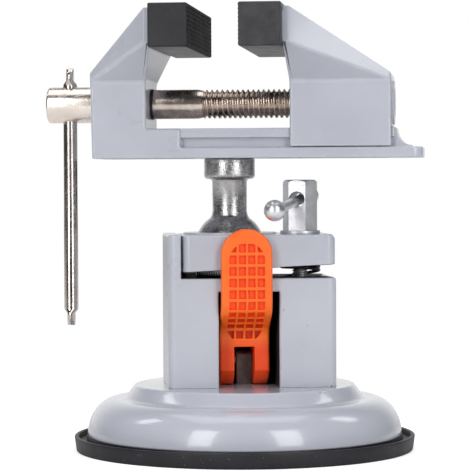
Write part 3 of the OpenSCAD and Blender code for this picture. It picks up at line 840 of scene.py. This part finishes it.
@dataclass
class BallClamp(SubAssembly):
    """The plate that holds the ball, with its spring, washer, screw and cross bar."""

    plate_rounding: float = 0.7
    plate_low: float = 65.0
    plate_middle: float = 70.0
    plate_top: float = 79.0
    hinge_half: float = 18.0
    hole_r: float = 15.0
    funnel_r: float = 17.6
    bore_seat_r: float = 9.5
    shank_r: float = 3.0
    shank_low: float = 42.4
    hex_z: float = 80.2
    bar_z: float = 91.5
    bar_yaw: float = 64.5
    bar_dip: float = 82.4
    bar_r: float = 1.8
    ball_r: float = 3.85
    bar_len: float = 38.15
    far_end: float = 9.88
    washer_r: float = 7.4
    spring_r: float = 6.9
    wire_r: float = 0.6
    spring_ends: Pair = (60.6, 66.75)
    spring_turns: float = 2.5
    rise_from: float = 0.75

    def plate_share(self, middle: Vector, length: float) -> float:
        """How much an edge of the plate is rounded.

        Args:
            middle: The edge's middle.
            length: Its length.

        Returns:
            Its share of the full width.
        """
        off_ball = off_axis(middle, BALL_X)
        if off_ball < self.hole_r or off_axis(middle, SCREW_X) < self.bore_seat_r:
            return 0.3
        if off_ball < self.funnel_r:
            return 0.5
        return 1.0 if middle.z > self.plate_middle else 0.6

    def plate(self) -> None:
        """Rounds the clamp plate's edges and paints shade on its underside and on its low part by the hinge.
        """
        plate = soften(merged_copy("clamp_plate", "plate_casting"), self.plate_rounding, self.plate_share,
                       finishes=ENAMEL)
        self.dress(plate, PAINT, Body.PLATE, Slot.GREY_PAINT, "clamp_plate")
        # Painted shade: the near-black finish goes on the plate's underside and its low part by the hinge.
        self.repaint(plate, SHADED_PAINT, lambda spot, normal: normal.z < -0.6
                     or spot.z < self.plate_low and abs(spot.y) < self.hinge_half)

    def spring(self) -> None:
        """Winds the spring between shelf and plate, with its end turns laid flat."""
        low, high = self.spring_ends
        steps = 28
        curve = bpy.data.curves.new("coil_spring", "CURVE")
        curve.dimensions = "3D"
        curve.bevel_depth = self.wire_r * MM
        curve.bevel_resolution = 4
        curve.use_fill_caps = True
        line = curve.splines.new("POLY")
        line.points.add(int(self.spring_turns * steps))
        for i, point in enumerate(line.points):
            t = i / steps
            climb = min(max(t - self.rise_from, 0.0), 1.0)
            climb = climb + math.sin(math.tau * climb) * -0.04
            angle = math.pi - math.tau * t
            spot = Vector((SCREW_X + self.spring_r * math.cos(angle), self.spring_r * math.sin(angle),
                           low + (high - low) * climb)) * MM
            point.co = (*spot, 1.0)
        piece = bpy.data.objects.new("coil_spring", curve)
        bpy.context.collection.objects.link(piece)
        activate(piece)
        bpy.ops.object.convert(target="MESH")
        piece = bpy.context.object
        smooth(piece)
        self.dress(piece, BLACK_STEEL, Body.BASE, Slot.BLACK_STEEL, "clamp_spring")

    def washer(self) -> None:
        """Turns the washer, rounded on top as a punched one is."""
        low, high, r = self.plate_top, self.hex_z, self.washer_r
        profile = [(3.25, low + 0.1), (3.35, low), (r - 0.1, low), (r, low + 0.12),
                   *arc((r - 0.4, high - 0.4), 0.4, 0, 90, 5), *arc((3.5, high - 0.3), 0.3, 90, 180, 4)]
        piece = lay(turned("zinc_washer", profile, 80, closed=True), moved(SCREW_X, 0, 0))
        self.dress(piece, ZINC, Body.WASHER, Slot.ZINC_STEEL, "clamp_washer")

    def screw(self) -> None:
        """Cuts the hexagon from its blank and adds the threaded shank."""
        head = merged_copy("clamp_screw", "hex_screw")
        cut_level(self.hex_z + 0.05, Keep.ABOVE)
        soften(head, 0.28, lambda middle, length: 1.0 if length > 3 or middle.z > 96 else 0.5, 25)
        r, low = self.shank_r - 0.55, self.shank_low
        shank = threaded("shank", r, self.shank_r, 1.0, low + 0.5, self.hex_z + 0.6, 32)
        tip = turned("tip", [(0, low), (r - 0.35, low), (r, low + 0.5), (r, low + 0.8), (0, low + 0.8)], 32)
        for piece in (shank, tip):
            lay(piece, moved(SCREW_X, 0, 0))
        self.dress(joined([head, shank, tip]), ZINC, Body.CLAMP_SCREW, Slot.ZINC_STEEL, "clamp_screw")

    def on_bar(self, name: str, profile: Sequence[Pair], node: str) -> None:
        """Turns a piece along the line of the cross bar.

        Args:
            name: The piece's name.
            profile: Points (radius, place on the bar's line).
            node: The CAD node that it stands for.
        """
        place = moved(SCREW_X, 0, self.bar_z) @ turn(self.bar_yaw, "Z") @ turn(self.bar_dip, "Y")
        piece = lay(turned(name, profile, 48), place)
        self.dress(piece, BAR_ZINC, Body.CLAMP_BAR, Slot.ZINC_STEEL, node)

    def bar(self) -> None:
        """Turns the cross bar with its formed ball, and the ball that is pressed on its other end."""
        r, ball, far = self.bar_r, self.ball_r, self.far_end
        near = far - self.bar_len
        meet = math.degrees(math.asin((r + 0.25) / ball))
        formed = [(0, near - ball), *arc((0, near), ball, -90, 90 - meet, 22)[1:], (r + 0.08, near + 3.0),
                  (r, near + 3.4), (r, far - 0.3), (r - 0.3, far), (0, far)]
        self.on_bar("cross_bar", formed, "clamp_bar")
        mouth_r = 2.2
        mouth = far - math.sqrt(ball ** 2 - mouth_r ** 2)
        side = math.degrees(math.atan2(mouth - far, mouth_r))
        pressed = [(0, far), (r, far), (r, mouth), (mouth_r - 0.2, mouth - 0.08),
                   *arc((0, far), ball, side, 90, 22)[:-1], (0, far + ball)]
        self.on_bar("cross_bar_ball", pressed, "clamp_bar_end")

    def build(self) -> None:
        """Builds the clamp's pieces."""
        self.plate()
        self.spring()
        self.washer()
        self.screw()
        self.bar()


@dataclass
class CamLever(SubAssembly):
    """The orange lever and its pin."""

    middle_x: float = -1.1
    width: float = 18.4
    top: float = 81.2
    pin_z: float = 33.0
    pin_r: float = 2.0
    pin_ends: Pair = (-10.5, 9.0)
    fork_half: float = 3.9
    fork_top: float = 39.0
    paddle_y: float = -24.22
    leg_y: float = -12.02
    bend_z: float = 55.5
    bend_angle: float = 59.0
    bend_radii: Pair = (7.0, 5.0)
    panel: Pair = (39.8, 76.2)
    panel_half: float = 6.5
    cell_depths: Pair = (0.12, 1.5)
    first_row: float = 74.4
    row_pitch: float = 4.15
    rounding: float = 0.95

    def edge_share(self, middle: Vector, length: float) -> float:
        """How much an edge of the lever is rounded: its outline fully, the cells' edges a little.

        Args:
            middle: The edge's middle.
            length: Its length.

        Returns:
            Its share of the full width.
        """
        across, half = abs(middle.x - self.middle_x), self.width / 2
        centre = self.top - half
        if across > half - 0.3 or middle.z > centre and math.hypot(across, middle.z - centre) > half - 0.3:
            return 1.0
        return 0.4 if across < self.fork_half and middle.z < self.fork_top else 0.13

    def depth(self, spot: Vector) -> float:
        """How deep a point lies behind the lever's bent front face.

        Args:
            spot: The point, in millimetres.

        Returns:
            Its depth, in millimetres.
        """
        upper, lower = self.bend_radii
        slope = math.radians(self.bend_angle)
        down = Vector((-math.cos(slope), -math.sin(slope)))
        along = Vector((math.sin(slope), -math.cos(slope)))
        run = (self.leg_y - self.paddle_y - (upper + lower) * (1 - math.cos(slope))) / math.sin(slope)
        first = Vector((self.paddle_y + upper, self.bend_z))
        second = first + (upper + lower) * down + run * along
        here = Vector((spot.y, spot.z))
        if here.y > first.y:
            return here.x - self.paddle_y
        if (here - first).dot(along) < 0:
            return upper - (here - first).length
        if (here - second).dot(along) < 0:
            return upper - (here - first).dot(down)
        if here.y > second.y:
            return (here - second).length - lower
        return here.x - self.leg_y

    def in_cell(self, spot: Vector, normal: Vector) -> bool:
        """Tells the faces inside the cells of the grid by their middle."""
        on_panel = abs(spot.x - self.middle_x) < self.panel_half and self.panel[0] < spot.z < self.panel[1]
        return on_panel and self.cell_depths[0] < self.depth(spot) < self.cell_depths[1]

    def build(self) -> None:
        """Builds the lever and its pin.

        The lever's front is first cut along its rows of cells, so that no face has many holes in it.
        """
        lever = merged_copy("cam_lever", "orange_lever", 0.03)
        for row in range(5):
            cut_level(self.first_row - row * self.row_pitch)
        soften(lever, self.rounding, self.edge_share, 30)
        self.dress(lever, LEVER_PLASTIC, Body.LEVER, Slot.LEVER_PLASTIC, "cam_lever")
        # The cells' inner faces get the deeper orange: painted shade in the recesses.
        self.repaint(lever, CELL_SHADE_PLASTIC, self.in_cell)
        pin = turned("fork_pin", barrel(0, self.pin_r, *self.pin_ends, 0.4, 0.35), 40)
        lay(pin, moved(0, 0, self.pin_z) @ turn(90, "Y"))
        self.dress(pin, ZINC, Body.STEM, Slot.ZINC_STEEL, "lever_pin")


# ------------------------------------------------------------------ head


@dataclass
class Head(SubAssembly):
    """The ball stud and the castings on it, drawn along X from the stud."""

    yaw: float = -11.5
    body_z: float = 106.7
    axis_z: float = 126.7
    ball_z: float = 74.3
    ball_r: float = 12.8
    neck_r: float = 6.3
    collar_r: float = 9.3
    collar_h: float = 7.3
    bolt_r: float = 3.05
    bolt_deep: float = 14.0
    rounding: float = 1.1
    bore_seat_r: float = 9.0
    bolt_seat_r: float = 6.0
    rail_z: float = 111.5
    rail_half: float = 9.9
    tongue_x: float = 66.0
    guide_z: float = 118.0
    guide_half: float = 13.2
    nose_z: float = 146.0
    left_from: float = -45.0
    corner_z: float = 137.5
    left_lean: float = 0.7
    pad_w: float = 70.0
    pad_low: float = 145.7
    pad_high: float = 161.3
    pad_rounding: float = 0.7
    nose_w: float = 58.0
    nose_h: float = 9.5
    nose_deep: float = 8.0
    groove_pitch: float = 1.5
    groove_half: float = 0.38
    groove_deep: float = 0.35

    @property
    def place(self) -> Matrix:
        """Where the head stands, and its turn."""
        return moved(BALL_X, 0, 0) @ turn(self.yaw, "Z")

    def own(self, spot: Vector) -> Vector:
        """A point in the head's own frame, in millimetres."""
        return self.place.inverted() @ (spot * MM) / MM

    def stud(self) -> None:
        """Turns the ball, neck and collar from one bar."""
        top, low = self.body_z, self.body_z - self.collar_h
        neck, ball, collar, z = self.neck_r, self.ball_r, self.collar_r, self.ball_z
        flat = ball - 0.6
        edge = math.sqrt(ball ** 2 - flat ** 2)
        neck_at = math.degrees(math.acos((neck + 0.9) / ball))
        profile = [(0, z - flat), (edge, z - flat),
                   *arc((0, z), ball, -math.degrees(math.acos(edge / ball)), neck_at, 30),
                   (neck + 0.35, z + ball - 1.2), (neck, z + ball + 0.4), (neck, low - 1.2),
                   (neck + 0.3, low - 0.55), (neck + 1.0, low - 0.2),
                   *arc((collar - 1.4, low + 1.2), 1.4, -80, 0, 8),
                   *arc((collar - 0.7, top - 0.7), 0.7, 0, 90, 5),
                   (self.bolt_r, top), (self.bolt_r, top - self.bolt_deep), (0, top - self.bolt_deep)]
        piece = lay(turned("steel_stud", profile), moved(BALL_X, 0, 0))
        self.dress(piece, RAW_STEEL, Body.STUD, Slot.RAW_STEEL, "ball_stud")

    def edge_share(self, middle: Vector, length: float) -> float:
        """How much an edge of a head casting is rounded: little in its bores and under the pads.

        Args:
            middle: The edge's middle.
            length: Its length.

        Returns:
            Its share of the full width.
        """
        own = self.own(middle)
        in_bore = math.hypot(own.y, own.z - self.axis_z) < self.bore_seat_r
        if in_bore or own.z > self.nose_z or off_axis(own, 0) < self.bolt_seat_r:
            return 0.2
        if own.z < self.rail_z and (abs(own.y) > self.rail_half or own.x > self.tongue_x):
            return 0.6
        return 0.35 if own.z < self.guide_z and abs(own.y) < self.guide_half else 1.0

    def lean_out(self, body: Piece) -> None:
        """Leans the body's left face out by its draft, most at the corner where its slope starts.

        Args:
            body: The body's casting.
        """
        for vertex in body.data.vertices:
            own = self.own(vertex.co / MM)
            if own.x < self.left_from:
                rise = (own.z - self.body_z) / (self.corner_z - self.body_z)
                fall = (self.pad_high - own.z) / (self.pad_high - self.corner_z)
                share = max(min(rise, fall), 0.0) * min((self.left_from - own.x) / 2, 1.0)
                vertex.co = self.place @ ((own - Vector((self.left_lean * share, 0, 0))) * MM)

    def castings(self) -> None:
        """Rounds the edges of the body and of the sliding jaw."""
        body = soften(merged_copy("vise_body", "body_casting"), self.rounding, self.edge_share,
                      finishes=ENAMEL)
        self.lean_out(body)
        self.dress(body, PAINT, Body.HEAD, Slot.GREY_PAINT, "vise_body")
        jaw = soften(merged_copy("sliding_jaw", "jaw_casting"), self.rounding, self.edge_share,
                     finishes=ENAMEL)
        self.dress(jaw, PAINT, Body.JAW, Slot.GREY_PAINT, "sliding_jaw")

    def pad(self, name: str, face: float, back: float, body: Body, node: str) -> None:
        """Moulds one rubber cap: a block with a pocket in its back and grooves across its face.

        Args:
            name: The piece's name.
            face: Place of its grooved face along the screw.
            back: Place of its back.
            body: The body that it rides on.
            node: The CAD node that it stands for.
        """
        way = 1 if face > back else -1
        high = self.pad_high - self.pad_low
        middle = (self.pad_low + self.pad_high) / 2
        deselect()
        bpy.ops.mesh.primitive_cube_add(size=1, location=((face + back) / 2 * MM, 0, middle * MM),
                                        scale=(abs(face - back) * MM, self.pad_w * MM, high * MM))
        piece = bpy.context.object
        piece.name = piece.data.name = name
        bpy.ops.object.transform_apply(location=True, rotation=True, scale=True)
        rim = (high - self.nose_h) / 2
        pick(piece, lambda spot, normal: normal.x * way < -0.9)
        bpy.ops.mesh.inset(thickness=rim * MM, depth=0)
        wider = self.nose_w / (self.pad_w - 2 * rim)
        bpy.ops.transform.resize(value=(1, wider, 1), center_override=(0, 0, 0))
        extrude(way * self.nose_deep)

        def on_face(spot: Vector, normal: Vector) -> bool:
            """Tells the faces that lie in the grooved face."""
            return normal.x * way > 0.9 and abs(spot.x - face) < 0.1

        grooves = [middle + i * self.groove_pitch for i in range(-4, 5)]
        for groove in grooves:
            for edge in (groove - self.groove_half, groove + self.groove_half):
                pick(piece, on_face)
                bpy.ops.mesh.bisect(plane_co=(0, 0, edge * MM), plane_no=(0, 0, 1))
        pick(piece, lambda spot, normal: on_face(spot, normal)
             and min(abs(spot.z - groove) for groove in grooves) < self.groove_half / 2)
        extrude(-way * self.groove_deep)
        bpy.ops.object.mode_set(mode="OBJECT")

        def share(spot: Vector, length: float) -> float:
            """Rounds the outer edges fully and the grooves a little."""
            level = abs(spot.z - middle) > high / 2 - 0.2
            upright = abs(spot.y) > self.pad_w / 2 - 0.2 and length > 1.2 and abs(spot.x - face) > 0.6
            return 1.0 if level or upright else 0.16

        lay(soften(piece, self.pad_rounding, share), self.place)
        self.dress(piece, PAD_RUBBER if way > 0 else WORN_RUBBER, body, Slot.PAD_RUBBER, node)
        self.repaint(piece, RIBBED_RUBBER, lambda spot, normal: abs(self.own(spot).x - face) < 0.6)

    def build(self) -> None:
        """Builds the head's pieces."""
        self.stud()
        self.castings()
        self.pad("fixed_pad", -10.8, -25.0, Body.HEAD, "fixed_jaw_pad")
        self.pad("sliding_pad", 7.2, 22.3, Body.JAW, "sliding_jaw_pad")
        self.coat("head_bolt", BLACK_STEEL)


@dataclass
class LeadScrew(SubAssembly):
    """The screw with its knob, the ring behind the fixed jaw, and the tommy bar."""

    head: Head
    lead_r: float = 5.35
    root_r: float = 4.35
    pitch: float = 1.9
    thread_from: float = -9.1
    end: float = 58.2
    knob_r: float = 6.65
    knob_ends: Pair = (-67.2, -49.35)
    knob_round: float = 0.9
    ring_x: float = -28.9
    ring_proud: float = 0.3
    tommy_x: float = -59.25
    tommy_r: float = 2.6
    tommy_bore_r: float = 2.7
    tommy_ends: Pair = (45.35, 140.15)
    pinch_cuts: tuple[float, ...] = (0.12, 0.5, 1.1, 1.9, 2.8, 3.8, 4.3, 4.8, 5.3, 5.8, 6.3)
    pinch_len: float = 6.1
    pinch_run: float = 1.9
    pinch_half: float = 3.4
    pinch_thin: float = 1.4

    @property
    def along(self) -> Matrix:
        """Lays a piece drawn along Z on the screw's axis."""
        return self.head.place @ moved(0, 0, self.head.axis_z) @ turn(90, "Y")

    def knob(self) -> Piece:
        """Turns the knob and bores it for the tommy bar.

        Returns:
            The knob, drawn along Z.
        """
        k, e = self.knob_r, self.knob_round
        low, high = self.knob_ends
        knob = turned("knob", [(0, low), (k - 1.2, low), *arc((k - e, low + e), e, -90, 0, 6),
                               *arc((k - e, high - e), e, 0, 90, 6), (k - 1.4, high), (0, high)])
        bore_r, reach = self.tommy_bore_r, 9
        bore = turned("bore", [(0, -reach), (bore_r, -reach), (bore_r, reach), (0, reach)], 40)
        lay(bore, moved(0, 0, self.tommy_x) @ turn(90, "Y"))
        cut = knob.modifiers.new("Bore", "BOOLEAN")
        cut.operation = "DIFFERENCE"
        cut.solver = "EXACT"
        cut.object = bore
        apply_all(knob)
        bpy.data.objects.remove(bore)
        smooth(knob)
        return knob

    def screw(self) -> None:
        """Joins the knob, a smooth shank with a groove for the ring, and the thread."""
        knob, knob_end = self.knob(), self.knob_ends[1]
        r, ring, start, end = self.lead_r, self.ring_x, self.thread_from, self.end
        groove = r - 0.6
        profile = [(0, knob_end - 0.5), (r, knob_end - 0.5), (r, ring + 0.1), (groove, ring + 0.15),
                   (groove, ring + 1.3), (r, ring + 1.35), (r, start - 2.4), (r - 0.18, start - 1.4),
                   (r - 0.4, start - 0.2), (self.root_r, start + 0.3), (0, start + 0.3)]
        shank = turned("shank", profile, 80)
        thread = threaded("thread", self.root_r, r, self.pitch, start, end - 1.0, 44)
        tip_r = r - 0.5
        profile = [(0, end - 1.4), (tip_r, end - 1.4), (tip_r, end - 0.8), (tip_r - 0.5, end), (0, end)]
        tip = turned("tip", profile, 44)
        piece = lay(joined([knob, shank, thread, tip]), self.along)
        self.dress(piece, NICKEL, Body.SCREW, Slot.NICKEL_STEEL, "lead_screw")
        self.repaint(piece, THREAD_NICKEL, lambda spot, normal: self.head.own(spot).x > knob_end + 0.2)

    def ring(self) -> None:
        """Turns the retaining ring, which stands a little proud of the shank."""
        profile = barrel(self.lead_r - 0.58, self.lead_r + self.ring_proud, self.ring_x + 0.15,
                         self.ring_x + 1.1, 0.15, 0.15)
        piece = lay(turned("snap_ring", profile, 64, closed=True), self.along)
        self.dress(piece, BLACK_STEEL, Body.SCREW, Slot.BLACK_STEEL, "retaining_ring")

    def tommy(self) -> None:
        """Pinches both ends of a round bar flat."""
        low, high = self.tommy_ends
        r, half = self.tommy_r, self.pinch_half
        deselect()
        bpy.ops.mesh.primitive_cylinder_add(vertices=48, radius=r * MM, depth=(high - low) * MM,
                                            location=(0, 0, (low + high) / 2 * MM))
        piece = bpy.context.object
        piece.name = piece.data.name = "tommy_rod"
        bpy.ops.object.transform_apply(location=True, rotation=True, scale=True)
        for step in self.pinch_cuts:
            cut_level(low + step)
            cut_level(high - step)
        for vertex in piece.data.vertices:
            inward = min(vertex.co.z / MM - low, high - vertex.co.z / MM)
            flat = min(max((self.pinch_len - inward) / self.pinch_run, 0.0), 1.0)
            flat = flat * flat * (3 - 2 * flat)
            tip = 0.88 if inward < 0.05 else 1.0
            wide = math.sqrt(max(half ** 2 - max(half - inward * 1.05, 0.0) ** 2, 1.9)) / r
            vertex.co.x *= (1 - flat + flat * self.pinch_thin / r) * tip
            vertex.co.y *= 1 - flat + flat * min(wide, half / r)
        smooth(piece, 40)
        lay(piece, self.head.place @ moved(self.tommy_x, 0, 0))
        # The bar gets the darker copy of the nickel: painted shade.
        self.dress(piece, SHADED_ROD_NICKEL, Body.TOMMY, Slot.NICKEL_STEEL, "tommy_bar")

    def build(self) -> None:
        """Builds the screw's pieces."""
        self.screw()
        self.ring()
        self.tommy()


# ------------------------------------------------------------------ studio


@dataclass(frozen=True)
class SoftBox:
    """A rectangular light, in metres and watts, with its bearing in degrees from the front to the left."""

    name: str
    bearing: float
    height: float
    size: Pair
    power: float
    reach: float = 1.25
    aim: Triple = (0, 0, 0.09)

    def hang(self) -> None:
        """Hangs the light and turns it to what it looks at."""
        data = bpy.data.lights.new(self.name, "AREA")
        data.shape = "RECTANGLE"
        data.size, data.size_y = self.size
        data.energy = self.power
        light = bpy.data.objects.new(self.name, data)
        a = math.radians(self.bearing)
        light.location = (-self.reach * math.sin(a), -self.reach * math.cos(a), self.height)
        light.rotation_euler = (Vector(self.aim) - light.location).to_track_quat("-Z", "Y").to_euler()
        bpy.context.collection.objects.link(light)


@dataclass
class Studio:
    """A pale floor in a light tent, two tall boxes in front, two small ones at the sides and a top light."""

    camera_at: Triple = (-72.98, -796.67, 96.93)
    heading: float = -5.0
    tilt: float = 1.316
    roll: float = -0.25
    lens: float = 166.66
    lights: tuple[SoftBox, ...] = (
        SoftBox("left box", 37, 0.52, (0.40, 1.0), 7.0),
        SoftBox("right box", -27, 0.52, (0.44, 1.0), 7.0),
        SoftBox("left wing", 104, 1.21, (0.28, 0.5), 2.2),
        SoftBox("right wing", -101, 1.21, (0.34, 0.5), 2.2),
        SoftBox("top light", 180, 1.3, (1.2, 1.0), 6.0, reach=0.1, aim=(0, 0.1, 0)))
    sky: float = 0.47
    sky_front: float = 0.30
    sky_fade: Pair = (-0.75, 0.35)
    mirror_front: float = 0.055
    mirror_fade: Pair = (0.55, 0.98)
    floor_colour: Triple = (0.84, 0.84, 0.84)
    floor_glow: float = 0.5
    floor_fade: Pair = (0.08, 0.24)

    def camera(self) -> None:
        """Sets the camera at the photograph's viewing angle."""
        data = bpy.data.cameras.new("studio camera")
        data.lens = self.lens
        data.sensor_width = 36.0
        data.clip_start = 0.01
        camera = bpy.data.objects.new("studio camera", data)
        camera.matrix_world = (moved(*self.camera_at) @ turn(self.heading, "Z") @ turn(90 - self.tilt, "X")
                               @ turn(self.roll, "Z"))
        bpy.context.collection.objects.link(camera)
        bpy.context.scene.camera = camera

    def tent(self) -> None:
        """Makes the world: white behind the vise, dim in front of it, and white to the camera.

        Shiny pieces mirror a darker front than the one that lights the vise.
        """
        world = bpy.data.worlds.new("light tent")
        bpy.context.scene.world = world
        world.use_nodes = True
        w = Nodes(world.node_tree)
        way = w.add("ShaderNodeTexCoord").outputs["Generated"]
        back = w.add("ShaderNodeSeparateXYZ", {"Vector": way}).outputs["Y"]

        def cloth(colour: object, strength: float = 1.0) -> Socket:
            """Adds a background of a colour."""
            feeds = {"Color": colour, "Strength": strength}
            return w.add("ShaderNodeBackground", feeds).outputs["Background"]

        rays = w.add("ShaderNodeLightPath").outputs
        shiny = w.maths("MAXIMUM", rays["Is Glossy Ray"], rays["Is Transmission Ray"])
        lit = cloth(w.ramp(back, *self.sky_fade, self.sky_front, 1.0), self.sky)
        mirrored = cloth(w.ramp(back, *self.mirror_fade, self.mirror_front, 1.0))
        surface = w.blend(rays["Is Camera Ray"], w.blend(shiny, lit, mirrored), cloth(WHITE))
        w.add("ShaderNodeOutputWorld", {"Surface": surface})

    def floor(self) -> None:
        """Lays a floor that keeps the vise's shadow near it and is white to the camera further out."""
        deselect()
        bpy.ops.mesh.primitive_grid_add(x_subdivisions=4, y_subdivisions=4, size=8.0)
        floor = bpy.context.object
        floor.name = floor.data.name = "studio_floor"
        w = Wiring("white floor")
        seen = w.add("ShaderNodeLightPath").outputs["Is Camera Ray"]
        matt = w.add("ShaderNodeBsdfDiffuse", {"Color": self.floor_colour})
        glow = w.add("ShaderNodeEmission", {"Strength": w.maths("MULTIPLY", seen, self.floor_glow)})
        near = w.add("ShaderNodeAddShader", {0: matt.outputs["BSDF"], 1: glow.outputs["Emission"]})
        reach = w.add("ShaderNodeVectorMath", {0: w.place}, operation="LENGTH")
        far = w.maths("MULTIPLY", w.ramp(reach.outputs["Value"], *self.floor_fade), seen)
        white = w.add("ShaderNodeEmission", {"Color": WHITE})
        surface = w.blend(far, near.outputs["Shader"], white.outputs["Emission"])
        floor.data.materials.append(w.surfaced(surface))

    def build(self) -> None:
        """Builds the studio."""
        self.camera()
        for light in self.lights:
            light.hang()
        self.tent()
        self.floor()
        bpy.context.scene.view_settings.view_transform = "Standard"


def main() -> None:
    """Builds the studio and every sub-assembly."""
    logging.basicConfig(level=logging.INFO, format="%(name)s: %(message)s")
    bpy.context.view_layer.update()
    head = Head()
    for part in (Studio(), SuctionBase(), ClampBlock(), BallClamp(), CamLever(), head, LeadScrew(head)):
        LOG.info("building %s", type(part).__name__)
        part.build()
    deselect()


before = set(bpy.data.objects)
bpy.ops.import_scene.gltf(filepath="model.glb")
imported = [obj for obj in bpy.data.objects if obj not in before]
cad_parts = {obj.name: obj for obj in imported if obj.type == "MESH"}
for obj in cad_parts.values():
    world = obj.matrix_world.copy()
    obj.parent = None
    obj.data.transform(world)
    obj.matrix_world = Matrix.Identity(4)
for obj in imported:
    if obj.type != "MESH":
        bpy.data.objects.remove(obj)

if __name__ == "__main__":
    main()
